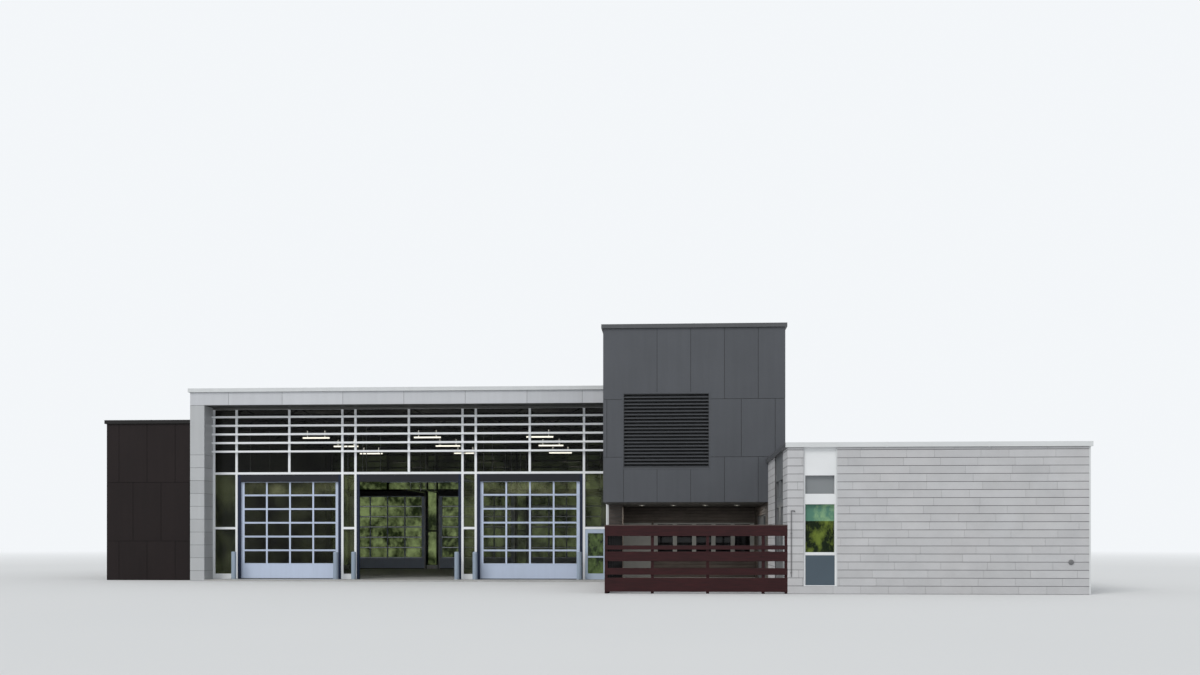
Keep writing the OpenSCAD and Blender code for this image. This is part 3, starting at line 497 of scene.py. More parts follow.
def blockwork():
    """Smooth light grey blocks: a tone for each, cloudy faces, pores and a soft grain."""
    made = Finish("masonry_block", 0.82, 0.3)
    cloud = made.vary(0.94, 1.05, 1.3, 5)
    grain = made.vary(0.955, 1.04, 70, 4, (1, 1, 2))
    pores = made.vary(1.0, 0.8, 190, 1, span=(0.66, 0.74))
    factor = made.product(made.product(cloud, grain), made.product(pores, made.tone(0.94, 1.03)))
    tint = made.blend(made.noise(0.5, 2), (0.515, 0.52, 0.535), (0.53, 0.52, 0.525))
    made.colour(made.darken(tint, factor))
    made.bump(made.noise(120, 5), 0.0015, 0.5)
    return made.mat


def gritty(name, rough, specular, patch, dark, light, grit):
    """A surface of two mixed colours; grit is its bump's scale, detail, depth and strength."""
    made = Finish(name, rough, specular)
    made.colour(made.blend(made.noise(*patch), dark, light))
    made.bump(made.noise(*grit[:2]), *grit[2:])
    return made.mat


def concrete():
    """Power-floated slab: large clouding, trowel marks and fine speckle."""
    made = Finish("slab_concrete", 0.55, 0.4)
    base = made.blend(made.vary(0, 1, 0.45, 6), (0.36, 0.36, 0.35), (0.47, 0.465, 0.455))
    made.colour(made.darken(base, made.vary(0.94, 1.05, 90, 3, span=(0.35, 0.65))))
    made.set("Roughness", made.vary(0.4, 0.62, 3, 5))
    made.bump(made.noise(30, 5), 0.001, 0.3)
    return made.mat


def membrane():
    """Roofing membrane: matt, with ponding stains and a fine grit."""
    made = Finish("roof_membrane", 0.88, 0.25)
    stain = made.vary(0, 1, 0.35, 6, span=(0.35, 0.65), rough=0.65)
    base = made.blend(stain, (0.30, 0.30, 0.30), (0.41, 0.41, 0.405))
    made.colour(made.darken(base, made.vary(0.9, 1.08, 240, 2)))
    made.bump(made.noise(200, 3), 0.001, 0.5)
    return made.mat


def stained_wood(name, dark, light, along, toned=False, specular=0.35, posts=None):
    """Stained boards: long fibres along one axis.

    posts is (axis, place, height) of a fence: dark steel past that place below that height,
    and a lighter edge along the top.
    """
    made = Finish(name, 0.6, specular)
    stretch = tuple(0.45 if axis == along else 7.0 for axis in "xyz")
    fibre = made.noise(5, 6, stretch, 0.7)
    base = made.blend(made.remap(fibre, 0.32, 0.68, 0, 1), dark, light)
    weather = made.vary(0.88, 1.1, 1.1, 4)
    if toned:
        weather = made.product(weather, made.tone(0.82, 1.16))
    base = made.darken(base, weather)
    if posts:
        axis, place, cap = posts
        face = made.product(made.beyond(axis, place, 0.0002), made.facing_down(axis))
        steel = made.either(face, made.beyond(axis, place + 0.0008, 0.0002))
        steel = made.product(steel, made.beyond("Z", cap, to=(1, 0)))
        base = made.blend(steel, base, (0.010, 0.010, 0.011))
        base = made.blend(made.beyond("Z", cap + 0.05), base, (0.085, 0.062, 0.056))
    made.colour(base)
    made.set("Roughness", made.remap(fibre, 0.3, 0.7, 0.5, 0.68))
    made.bump(made.noise(24, 5, stretch), 0.002, 0.5)
    return made.mat


def glazing(name, dark, light, alpha, specular=0.3, patch=0.55, above=None):
    """Tinted glass: a dark body with soft patches of painted reflection, partly seen through.

    above is (height, dark, light) where the glass looks otherwise from that height up.
    """
    made = Finish(name, 0.03, specular)
    made.set("Alpha", alpha)
    made.set("IOR", 1.5)
    # The patches are a painted reflection of leaves in the glass.
    depth = made.vary(0, 1, patch, 6, (1, 1, 0.8), span=(0.42, 0.68), rough=0.68)
    body = made.blend(depth, dark, light)
    if above:
        body = made.blend(made.beyond("Z", above[0]), body, made.blend(depth, above[1], above[2]))
    made.colour(body)
    return made.mat


def rear_glazing():
    """Green glass that daylight shines through, with patches of painted leaves seen through it, and
    darker higher up.
    """
    made = Finish("rear_glass", 0.02, 0.2)
    made.set("Transmission Weight", 0.96)
    made.set("IOR", 1.3)
    # Leafy patches: painted leaves seen through the glass.
    leaf = made.vary(0, 1, 1.3, 8, (1, 1, 0.8), span=(0.42, 0.62), rough=0.72)
    green = made.blend(leaf, (0.012, 0.018, 0.006), (0.20, 0.25, 0.10))
    made.colour(made.darken(green, made.beyond("Z", FADE_Z, 0.6, (1, 0.3))))
    return made.mat


def wing_side(made, reach=0.4, lead=0.3):
    """A share that is 1 on the pieces of the wing's left wall, and 0 on its other walls."""
    near = made.beyond("X", X_WING + reach, to=(1, 0))
    return made.product(near, made.beyond("Y", Y_WING + lead))


def wing_glazing():
    """Glass of the wing: green-black low down with a painted reflection of leaves, paler near the
    head, grey in the upper row, and near-black on the left wall as painted shade.
    """
    made = Finish("wing_glass", 0.03, 0.08)
    made.set("Alpha", 0.93)
    # Leafy patches: a painted reflection of leaves.
    leaf = made.vary(0, 1, 1.6, 6, (1, 1, 0.7), span=(0.48, 0.62), rough=0.7)
    green = made.blend(leaf, (0.010, 0.018, 0.007), (0.15, 0.20, 0.035))
    teal = made.blend(leaf, (0.10, 0.23, 0.17), (0.27, 0.44, 0.24))
    head = made.blend(made.beyond("Z", TEAL_Z), green, teal)
    outer = made.blend(made.beyond("Z", HIGH_PANE_Z), head, (0.255, 0.27, 0.28))
    # Near-black on the left wall: painted shade, without the painted reflection.
    made.colour(made.blend(wing_side(made), outer, (0.012, 0.014, 0.016)))
    return made.mat


def wing_metal(name, colour):
    """Painted metal of the wing's windows, which is grey on its left wall."""
    made = Finish(name, 0.4, 0.4)
    cloud = made.vary(0.96, 1.04, 0.8, 4)
    made.colour(made.darken(made.blend(wing_side(made), colour, (0.165, 0.172, 0.178)), cloud))
    made.paint(0.4)
    return made.mat


def wing_edge():
    """Coping of the wing: light metal, and dark metal along its left wall."""
    made = Finish("wing_coping", 0.36, 0.4)
    cloud = made.vary(0.97, 1.03, 0.6, 4)
    dark = wing_side(made, 0.5, -0.02)
    made.colour(made.darken(made.blend(dark, (0.64, 0.655, 0.66), (0.085, 0.088, 0.094)), cloud))
    made.paint(0.36, peel=False)
    return made.mat


def bare_metal(name, colour, rough):
    """Galvanised or stainless metal: spangle in the colour and brushed roughness."""
    made = Finish(name, rough, metal=1.0)
    made.colour(made.blend(made.vary(0, 1, 45, 3), scaled(colour, 0.86), scaled(colour, 1.1)))
    made.set("Roughness", made.vary(rough - 0.08, rough + 0.12, 14, 4))
    return made.mat


def lamp(name, strength):
    """A lit diffuser of a warm white that varies a little."""
    made = Finish(name, 0.4)
    tint = made.blend(made.noise(3, 2), (1.0, 0.95, 0.78), (1.0, 0.97, 0.86))
    made.colour(tint)
    made.set("Emission Color", tint)
    made.set("Emission Strength", strength)
    return made.mat


# Panels from the soffit's height up take a lighter colour: painted light, as more light falls on the
# fascias than on the legs and reveals.
PORTAL = painted("portal_panels", (0.445, 0.455, 0.465), 0.38, 0.035, toned=True,
                 above=(SOFFIT, (0.54, 0.55, 0.575)))
PORTAL_CORE = painted("portal_core", (0.16, 0.165, 0.17), 0.6)
# The portal's soffit panels are its light grey panels painted near-black: painted shade under the
# soffit.
PORTAL_SOFFIT_SHADE = painted("portal_soffit", (0.055, 0.057, 0.055), 0.5, 0.04, toned=True)
LIGHT_COPING = painted("light_coping", (0.64, 0.655, 0.66), 0.36, 0.03)
DARK_COPING = painted("dark_coping", (0.085, 0.088, 0.094), 0.42, 0.04)
BLACK_COPING = painted("block_coping_black", (0.013, 0.012, 0.012), 0.5, specular=0.25)
WING_COPING = wing_edge()
CHARCOAL = painted("charcoal_panels", (0.076, 0.081, 0.092), toned=True)
CHARCOAL_CORE = painted("charcoal_core", (0.02, 0.021, 0.023), 0.6)
BLACK = painted("near_black_panels", (0.0142, 0.0094, 0.0094), 0.5, 0.08, True, 0.18)
BLACK_CORE = painted("near_black_core", (0.004, 0.004, 0.004), 0.7, specular=0.1)
LOUVRE_METAL = painted("louvre_metal", (0.055, 0.058, 0.064), 0.45)
# From one mullion's width below the soffit up the frames are near-black: painted shade on the head
# members under the soffit.
MULLION_PAINT = painted("mullion_paint", (0.85, 0.865, 0.885), 0.34, 0.02,
                        above=(SOFFIT - MULLION, (0.10, 0.10, 0.095)))
DOOR_PAINT = painted("door_paint", (0.44, 0.52, 0.64), 0.36, 0.03)
SECTION_PAINT = painted("section_paint", (0.56, 0.64, 0.80), 0.36, 0.03, toned=True)
NAVY = painted("navy_surround", (0.010, 0.017, 0.040), 0.4, specular=0.25)
SLATE = painted("slate_header", (0.017, 0.018, 0.023), specular=0.25)
WHITE = wing_metal("white_frames", (0.76, 0.77, 0.78))
SPANDREL = wing_metal("spandrel_panel", (0.062, 0.088, 0.112))
WHITE_METAL = painted("white_metal", (0.72, 0.72, 0.71), 0.4, 0.03)
PALE = painted("pale_panel", (0.25, 0.26, 0.255), 0.42, 0.04)
SOFFIT_METAL = painted("soffit_panels", (0.035, 0.033, 0.031), 0.55, 0.06, toned=True)
JOIST = painted("joist_primer", (0.045, 0.047, 0.05), 0.6, 0.08)
BOLLARD = painted("bollard_paint", (0.30, 0.365, 0.45), 0.38)
PIPE = painted("pipe_paint", (0.16, 0.16, 0.165), 0.45, 0.06)
DRAIN = painted("drain_paint", (0.10, 0.10, 0.105), 0.5, 0.06)
BLOCK = blockwork()
SLAB = concrete()
ROOFING = membrane()
MORTAR = gritty("mortar", 0.92, 0.2, (40, 4), (0.07, 0.07, 0.075), (0.12, 0.12, 0.125),
                (160, 4, 0.002, 0.6))
INNER = gritty("inner_wall", 0.85, 0.3, (0.8, 5), (0.23, 0.235, 0.235), (0.30, 0.30, 0.295),
               (120, 4, 0.0008, 0.3))
SEAL = gritty("black_seal", 0.7, 0.3, (60, 3), (0.012, 0.012, 0.013), (0.022, 0.022, 0.023),
              (300, 2, 0.0005, 0.4))
GALVANISED = bare_metal("galvanised_steel", (0.52, 0.53, 0.54), 0.42)
STAINLESS = bare_metal("stainless_steel", (0.62, 0.62, 0.61), 0.28)

# The boards' two stains, dark and light, and where the posts start behind each fence
MAROON = ((0.018, 0.0048, 0.0056), (0.044, 0.011, 0.0125))
UMBER = ((0.046, 0.038, 0.033), (0.115, 0.097, 0.085))
BEHIND_X = ("Y", Y_WING + FENCE_BOARD, FENCE_CAP_Z)
BEHIND_Y = ("X", low("fence_return").x + FENCE_BOARD, FENCE_CAP_Z)
FENCE_X = stained_wood("fence_boards_x", *MAROON, "x", specular=0.2, posts=BEHIND_X)
FENCE_Y = stained_wood("fence_boards_y", *MAROON, "y", specular=0.2, posts=BEHIND_Y)
BROWN = stained_wood("brown_boards", *UMBER, "x", toned=True)
BROWN_Y = stained_wood("brown_boards_deep", *UMBER, "y", toned=True)

# In each glass below, the lighter colour is the painted reflection in its soft patches.
HALL_GLASS = glazing("hall_glass", (0.010, 0.013, 0.006), (0.13, 0.145, 0.065), 0.5, 0.15,
                     above=(UPPER_Z, (0.001, 0.0012, 0.0008), (0.006, 0.007, 0.003)))
DOOR_GLASS = glazing("door_glass", (0.003, 0.0035, 0.002), (0.04, 0.045, 0.022), 0.42, 0.15, 1.1,
                     (TOP_ROW_Z, (0.04, 0.045, 0.02), (0.24, 0.25, 0.13)))
LEAF_GLASS = glazing("leaf_glass", (0.014, 0.028, 0.008), (0.17, 0.25, 0.08), 0.88, 0.2, 2.2)
DARK_GLASS = glazing("terrace_glass_dark", (0.003, 0.003, 0.004), (0.010, 0.011, 0.012), 0.9)
REAR_GLASS = rear_glazing()
WING_GLASS = wing_glazing()
LIGHT_TUBE = lamp("ceiling_lamp", 5.0)
DOWNLIGHT = lamp("soffit_lamp", 0.35)


def finish_solids():
    """The finish of the solids: material, slot, bevel of the edges, and names."""
    groups = (
        (SLAB, "slab", 0, "floor_slabs"),
        (INNER, "portal_panel", 0, "hall_left_wall hall_right_wall"),
        (ROOFING, "roofing", 0, "hall_roof block_roof tower_roof wing_roof"),
        (JOIST, "joist_steel", 0, "roof_joists"),
        (PORTAL_CORE, "portal_panel", 0, "portal_legs portal_fascias"),
        (LIGHT_COPING, "light_coping", 0.006, "hall_coping"),
        (BLACK_COPING, "light_coping", 0.006, "block_coping"),
        (DARK_COPING, "dark_coping", 0.006, "tower_coping"),
        (WING_COPING, "light_coping", 0.006, "wing_coping"),
        (MULLION_PAINT, "mullion", 0.004, "front_upper_frame front_bay_frames"),
        (MULLION_PAINT, "mullion", 0.004, "rear_upper_frame rear_bay_frames"),
        (MULLION_PAINT, "mullion", 0.002, "man_door_frame"),
        (DOOR_PAINT, "door_blue", 0.002, "man_door_leaf"),
        (STAINLESS, "handle_steel", 0, "man_door_handle"),
        (HALL_GLASS, "glazing", 0, "front_glass"),
        (REAR_GLASS, "glazing", 0, "rear_glass"),
        (LEAF_GLASS, "glazing", 0, "man_door_glass"),
        (DOOR_GLASS, "glazing", 0, "overhead_door_glass"),
        (DARK_GLASS, "glazing", 0, "terrace_glass"),
        (WING_GLASS, "glazing", 0, "wing_glass"),
        (GALVANISED, "track_steel", 0.003, "door_tracks track_runs"),
        (GALVANISED, "track_steel", 0, "track_bends track_hangers"),
        (NAVY, "door_surround", 0.004, "door_jambs"),
        (SLATE, "header_grey", 0.004, "door_headers"),
        (BOLLARD, "bollard_paint", 0, "bollards"),
        (LIGHT_TUBE, "lamp", 0, "ceiling_lights"),
        (BLACK_CORE, "block_panel", 0, "block_front_wall block_side_wall block_rear_wall"),
        (CHARCOAL_CORE, "tower_panel", 0, "tower_front_wall tower_side_walls tower_rear_wall"),
        (SOFFIT_METAL, "soffit_board", 0, "tower_floor"),
        (LOUVRE_METAL, "louvre_metal", 0.002, "tower_louvre"),
        (BLACK_CORE, "brown_board", 0, "terrace_back_wall"),
        (PALE, "mullion", 0.003, "terrace_windows"),
        (PALE, "pale_panel", 0.003, "terrace_panel"),
        (FENCE_X, "fence_board", 0.004, "terrace_fence"),
        (FENCE_Y, "fence_board", 0.004, "fence_return"),
        (MORTAR, "masonry", 0, "wing_front_wall wing_left_wall wing_right_wall wing_rear_wall"),
        (WHITE, "window_white", 0.003, "wing_windows"),
        (SPANDREL, "spandrel", 0.003, "wing_spandrels"),
        (PIPE, "pipe_metal", 0, "wall_pipe"),
    )
    for finish, slot, bevel, names in groups:
        for node in names.split():
            piece = frame["nodes"][node]
            piece.data.materials.clear()
            piece.data.materials.append(finish)
            if bevel:
                soft = piece.modifiers.new("soft_edges", "BEVEL")
                soft.width = bevel
                soft.segments = 2
                soft.limit_method = "ANGLE"
                soft.angle_limit = math.radians(50)


# Level joints of the portal: the highest on a leg, the step down to the next, and how many
# steps below the highest the flank has its own
LEG_JOINT = 5.44
LEG_STEP = 0.555
FLANK_STEPS = 6
SIDE_PANEL = 2.5


def rows_of(levels, marks):
    """Rows between each two levels, all with the same upright joints."""
    return [(v0, v1, marks) for v0, v1 in zip(levels, levels[1:])]


def leg_levels():
    """Heights of the level joints of a leg, from the ground to the soffit."""
    levels = []
    z = LEG_JOINT
    while z > 0.2:
        levels.append(z)
        z -= LEG_STEP
    return [0.0] + levels[::-1] + [SOFFIT]


def leg_rows(u0, u1):
    return rows_of(leg_levels(), [u0, u1])


def portal_panels():
    """Light grey panels on the portal's faces, reveals, soffits and outer sides."""
    shape = Shape()
    marks = [BAY_X[0], BAY_X[0] + DOOR_BAY / 2]
    for x in BAY_X[1:]:
        marks += [x - HALF_PIER, x + DOOR_BAY / 2]
    marks.append(BAY_X[2] + DOOR_BAY)
    fascia = [X_LEG - SKIN] + marks + [X_TOWER]
    rear_fascia = [-X_LEG_R - SKIN, -X_TOWER] + [-m for m in marks[::-1]] + [-X_LEG + SKIN]
    reveal = leg_rows(-Y_GLAZE, -Y_PORTAL)
    low_reveal = [row for row in reveal if row[0] < UNDER - LEG_STEP]
    low_reveal.append((low_reveal[-1][1], UNDER, [-Y_GLAZE, -Y_PORTAL]))
    for wall, rows in (
        (front(0, Y_PORTAL), [(SOFFIT, HALL_TOP, fascia)]),
        (front(0, Y_PORTAL), leg_rows(X_LEG - SKIN, X_GLAZE + SKIN)),
        (rear(0, Y_REAR), [(SOFFIT, HALL_TOP, rear_fascia)]),
        (rear(0, Y_REAR), leg_rows(-X_GLAZE - SKIN, -X_LEG + SKIN)),
        (rear(0, Y_REAR), leg_rows(-X_LEG_R - SKIN, -X_TOWER + SKIN)),
        (right(X_GLAZE, 0), leg_rows(Y_PORTAL, Y_GLAZE)),
        (right(X_GLAZE, 0), leg_rows(Y_REAR - REVEAL, Y_REAR)),
        (left(X_TOWER, 0), leg_rows(-Y_REAR, -Y_REAR + REVEAL)),
        (left(X_TOWER, 0), low_reveal),
    ):
        cover(shape, wall, rows)
    # The soffit panels take the near-black finish, a painted shade.
    under = Shape()
    soffit = [X_GLAZE] + marks + [X_TOWER]
    cover(under, below(SOFFIT), [(Y_PORTAL, Y_GLAZE, soffit), (Y_REAR - REVEAL, Y_REAR, soffit)])
    under.make("portal_soffits", PORTAL_SOFFIT_SHADE, "portal_panel")
    block = (-Y_REAR + REVEAL, 0, -Y_GLAZE, high("block_coping").z)
    side = stops(-Y_REAR, -Y_PORTAL, SIDE_PANEL, -Y_REAR + REVEAL)
    cover(shape, left(X_LEG, 0), rows_of(leg_levels() + [HALL_TOP], side), [block])
    leg_y = Y_REAR - LEG_D
    flank = stops(Y_TOWER_R, leg_y, SIDE_PANEL)
    flank_levels = [0, LEG_JOINT - FLANK_STEPS * LEG_STEP, LEG_JOINT, HALL_TOP]
    cover(shape, right(X_HALL_R, 0), rows_of(flank_levels, flank))
    fascia_end = (SOFFIT, HALL_TOP, [Y_REAR - REVEAL, Y_REAR])
    cover(shape, right(X_LEG_R, 0), leg_rows(leg_y, Y_REAR) + [fascia_end])
    cover(shape, front(0, leg_y), leg_rows(X_HALL_R, X_LEG_R))
    shape.make("portal_cladding", PORTAL, "portal_panel")


def shifted(start, end, pitch, first):
    """Joints of a row and of the next, which is shifted by half a panel."""
    return stops(start, end, pitch, first), stops(start, end, pitch, first - pitch / 2)


# Panels of the side block: their width, the first joint and the level joints
BLOCK_PANEL = 1.266
BLOCK_FIRST = 0.550
BLOCK_LEVELS = (0.0, 1.72, 4.305)


def block_panels():
    """Near-black panels on the side block, in rows that are shifted against each other."""
    shape = Shape()
    levels = [*BLOCK_LEVELS, BLOCK_TOP]
    y_rear = high("block_rear_wall").y
    width = X_LEG - X_BLOCK
    for wall, length in ((front(X_BLOCK, Y_GLAZE), width), (left(X_BLOCK, y_rear), y_rear - Y_GLAZE),
                         (rear(X_LEG, y_rear), width)):
        whole, half = shifted(-SKIN, length + SKIN, BLOCK_PANEL, BLOCK_FIRST)
        cover(shape, wall, zip(levels, levels[1:], (whole, half, whole)))
    shape.make("block_cladding", BLACK, "block_panel")


# Panels of the tower: their width, the first joint, the level joints and the gap at a joint
TOWER_PANEL = 1.336
TOWER_FIRST = 0.807
TOWER_LEVELS = (5.071, 7.378)
TOWER_JOINT = (0.017, 0.017)

# Louvre: its box, and how far its trim reaches past it
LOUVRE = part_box("tower_louvre")
LOUVRE_TRIM = 0.02


def tower_panels():
    """Charcoal panels on the tower, around the louvre, the hall and the wing's roof."""
    shape = Shape()
    levels = [UNDER, *TOWER_LEVELS, TOWER_TOP]
    width = X_TOWER_R - X_TOWER
    depth = Y_TOWER_R - Y_TOWER
    lo, hi = LOUVRE
    louvre = grown((lo.x - X_TOWER, lo.z, hi.x - X_TOWER, hi.z), LOUVRE_TRIM)
    coping = high("hall_coping").z
    beside_hall = [(-1, SOFFIT, Y_TOWER_R - Y_PORTAL, coping), (-1, 0, Y_TOWER_R - Y_GLAZE, SOFFIT)]
    for wall, length, holes in (
        (front(X_TOWER, Y_TOWER), width, [louvre]),
        (right(X_TOWER_R, Y_TOWER), depth, [(-1, 0, FAR, high("wing_roof").z)]),
        (rear(X_TOWER_R, Y_TOWER_R), width, [(width - WALL, 0, FAR, coping)]),
        (left(X_TOWER, Y_TOWER_R), depth, beside_hall),
    ):
        whole, half = shifted(-SKIN, length + SKIN, TOWER_PANEL, TOWER_FIRST)
        wide_first = [whole[0]] + whole[2:]
        rows = zip(levels, levels[1:], (whole, half, wide_first))
        cover(shape, wall, rows, holes, TOWER_JOINT)
    link = stops(X_TOWER_R - X_WING, width - WALL, TOWER_PANEL)
    cover(shape, rear(X_TOWER_R, Y_TOWER_R), [(0, UNDER, link)])
    shape.make("tower_cladding", CHARCOAL, "tower_panel")


# Window strips of the wing, as in the solids: width, left edge on the front, foot, width of an
# upright, top of the lowest panel, and how many there are on the right and at the rear
STRIP_W = 1.078
STRIP_X = 0.516
STRIP_Z = 0.26
STRIP_EDGE = 0.06
SILL_Z = 1.272
RIGHT_STRIPS = 4
REAR_STRIPS = 2

# The wing's left wall, as in the solids: the window bay and the screen, each by its distance
# from the front and its length along the wall
BAY_LEAD = 1.70
BAY_D = 3.45
SCREEN_LEAD = 9.55
SCREEN_D = 4.91
SCREEN_H = 2.83


def strip_places(count, length):
    return [(i + 0.5) * length / count - STRIP_W / 2 for i in range(count)]


def strip_holes(count, length):
    return [(u, STRIP_Z, u + STRIP_W, FAR) for u in strip_places(count, length)]


def courses(shape, wall, u0, u1, holes):
    """Blocks laid in courses up to the wing's coping, each with its own run of lengths."""
    v = 0.0
    while v < WING_TOP - LEAST:
        ends = [u0]
        reach = u0 - random.uniform(0.2, 1.1)
        while reach < u1:
            reach += random.choice(BLOCK_LENGTHS)
            if reach - ends[-1] > 0.25 and u1 - reach > 0.25:
                ends.append(reach)
        row = (v, min(v + COURSE, WING_TOP), ends + [u1])
        cover(shape, wall, [row], holes, (BUTT, BED), BLOCK_SKIN)
        v += COURSE


def masonry():
    """Blocks on the wing's four walls, and boards on its left wall under the tower."""
    shape = Shape()
    width = X_WING_R - X_WING
    depth = Y_TOWER_R - Y_WING
    back = X_WING_R - X_TOWER_R
    length = Y_BACK - Y_WING
    under_tower = Y_BACK - Y_TOWER
    strip = (STRIP_X - 0.003, STRIP_Z, STRIP_X + STRIP_W + 0.003, FAR)
    bay = (length - BAY_LEAD - BAY_D, STRIP_Z, length - BAY_LEAD, FAR)
    screen = (length - SCREEN_LEAD - SCREEN_D, FLOOR, length - SCREEN_LEAD, SCREEN_H)
    rear_holes = strip_holes(REAR_STRIPS, back) + [(back, UNDER, FAR, FAR)]
    courses(shape, front(X_WING, Y_WING), -BLOCK_SKIN, width + BLOCK_SKIN, [strip])
    courses(shape, right(X_WING_R, Y_WING), 0, depth, strip_holes(RIGHT_STRIPS, depth))
    courses(shape, rear(X_WING_R, Y_TOWER_R), -BLOCK_SKIN, width, rear_holes)
    courses(shape, left(X_WING, Y_BACK), 0, length, [bay, screen, (-1, 0, under_tower, FAR)])
    shape.make("masonry_blocks", BLOCK, "masonry")
    boards = Shape()
    level_boards(boards, left(X_WING, Y_BACK), 0.0, 0, under_tower, [screen])
    boards.make("passage_boards", BROWN_Y, "brown_board")


def level_boards(shape, wall, foot, u0, u1, holes=(), least=0.8):
    """Boards up a wall from its foot to the overhang, with their butts spread about."""
    z = foot
    while z < UNDER - 0.03:
        marks = stops(u0, u1, BOARD_LENGTH, u0 + random.uniform(least, 2.2))
        row = (z, min(z + BOARD, UNDER), marks)
        cover(shape, wall, [row], holes, (BOARD_BUTT, BOARD_GAP), BOARD_T)
        z += BOARD


def terrace_boards():
    """Level boards on the terrace's walls, around its windows and its pale panel."""
    x0, x1 = low("terrace_back_wall").x, high("terrace_back_wall").x
    lo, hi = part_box("terrace_windows")
    windows = (lo.x - x0, lo.z, hi.x - x0, hi.z)
    lo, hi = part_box("terrace_panel")
    pale = (lo.x - x0, 0, hi.x - x0, hi.z)
    end = Y_PORTAL + LEG_D
    shape = Shape()
    level_boards(shape, front(x0, Y_BACK), FLOOR, 0, x1 - x0, [windows, pale], 0.6)
    level_boards(shape, front(0, Y_PORTAL), 0.0, X_TOWER + 0.075, X_LEG_R + BOARD_T)
    level_boards(shape, rear(0, end), 0.0, -X_LEG_R, -X_HALL_R)
    shape.make("terrace_boards", BROWN, "brown_board")
    sides = Shape()
    level_boards(sides, right(X_LEG_R, 0), 0.0, Y_PORTAL, end)
    level_boards(sides, right(X_HALL_R, 0), FLOOR, end + BOARD_T, Y_BACK)
    sides.make("terrace_side_boards", BROWN_Y, "brown_board")
    trim = Shape()
    trim.box((X_TOWER, Y_PORTAL - 0.03, 0), (X_TOWER + 0.07, Y_PORTAL + 0.01, UNDER), bevel=BEVEL)
    trim.make("terrace_corner_trim", LIGHT_COPING, "light_coping")


def terrace_panels():
    """Two leaves on the pale panel, with the joint between them."""
    lo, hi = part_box("terrace_panel")
    shape = Shape()
    middle = (lo.x + hi.x) / 2
    for x0, x1 in ((lo.x, middle), (middle, hi.x)):
        rect = (x0 + 0.004, lo.z + 0.01, x1 - 0.004, hi.z - 0.004)
        shape.slab(front(0, lo.y), rect, -SUNK, 0.006, BEVEL)
    shape.make("terrace_panel_leaves", PALE, "pale_panel")


# Round lights under the overhang, in a row along its middle
SOFFIT_LIGHTS = [(X_TOWER + 1.445 + i * 1.355, (Y_TOWER + Y_BACK) / 2) for i in range(4)]


def soffit_panels():
    """Dark metal panels under the overhang, with holes left for the round lights."""
    shape, lens, trim = Shape(), Shape(), Shape()
    holes = [grown((x, y, x, y), 0.09) for x, y in SOFFIT_LIGHTS]
    rows = [(Y_TOWER, Y_BACK, stops(X_TOWER, X_WING, 0.3))]
    cover(shape, below(UNDER), rows, holes, (0.008, 0.008), 0.010, 0.002)
    shape.make("soffit_boards", SOFFIT_METAL, "soffit_board")
    bulge = [(0, 0.083), (0.6, 0.083), (0.8, 0.072), (0.93, 0.045), (1.0, 0.012)]
    rim = [(0.084, 0.0), (0.128, -0.008), (0.126, -0.018), (0.112, -0.024), (0.084, -0.020)]
    for x, y in SOFFIT_LIGHTS:
        lens.rod((x, y, UNDER + 0.06), (x, y, UNDER - 0.035), bulge)
        trim.hoop((x, y, UNDER), rim)
    lens.make("soffit_lenses", DOWNLIGHT, "lamp", smooth=True)
    trim.make("soffit_rims", WHITE_METAL, "lamp", smooth=True)


def louvre_screen():
    """Insect screen behind the blades, and a slim trim round the louvre's frame."""
    lo, hi = LOUVRE
    screen, trim = Shape(), Shape()
    screen.box((lo.x + 0.03, hi.y - 0.006, lo.z + 0.03), (hi.x - 0.03, hi.y, hi.z - 0.03))
    screen.make("louvre_screen", SEAL, "louvre_metal")
    outer = grown((lo.x, lo.z, hi.x, hi.z), LOUVRE_TRIM)
    for x0, z0, x1, z1 in ring(outer, LOUVRE_TRIM + 0.03):
        trim.box((x0, lo.y - 0.014, z0), (x1, lo.y + 0.01, z1), bevel=BEVEL)
    trim.make("louvre_trim", CHARCOAL, "louvre_metal")


# Overhead doors: height of the solid foot, rows and columns of panes, widths of the uprights,
# how far a leaf laps behind its jamb, its thickness, and the gap between two sections
SOLID_H = 0.65
ROWS = 6
COLS = 4
STILE = 0.075
END_STILE = 0.145
LAP = 0.02
LEAF_T = 0.05
SECTION_GAP = 0.005

# Panes of the doors: how far they reach into their frame, and their depths in the leaf
SEAT = 0.004
PANE_DEPTHS = (0.018, 0.026)

# Foot of a leaf: height of the rubber, and half the width of a rib
RUBBER = 0.03
RIB_HALF = 0.022


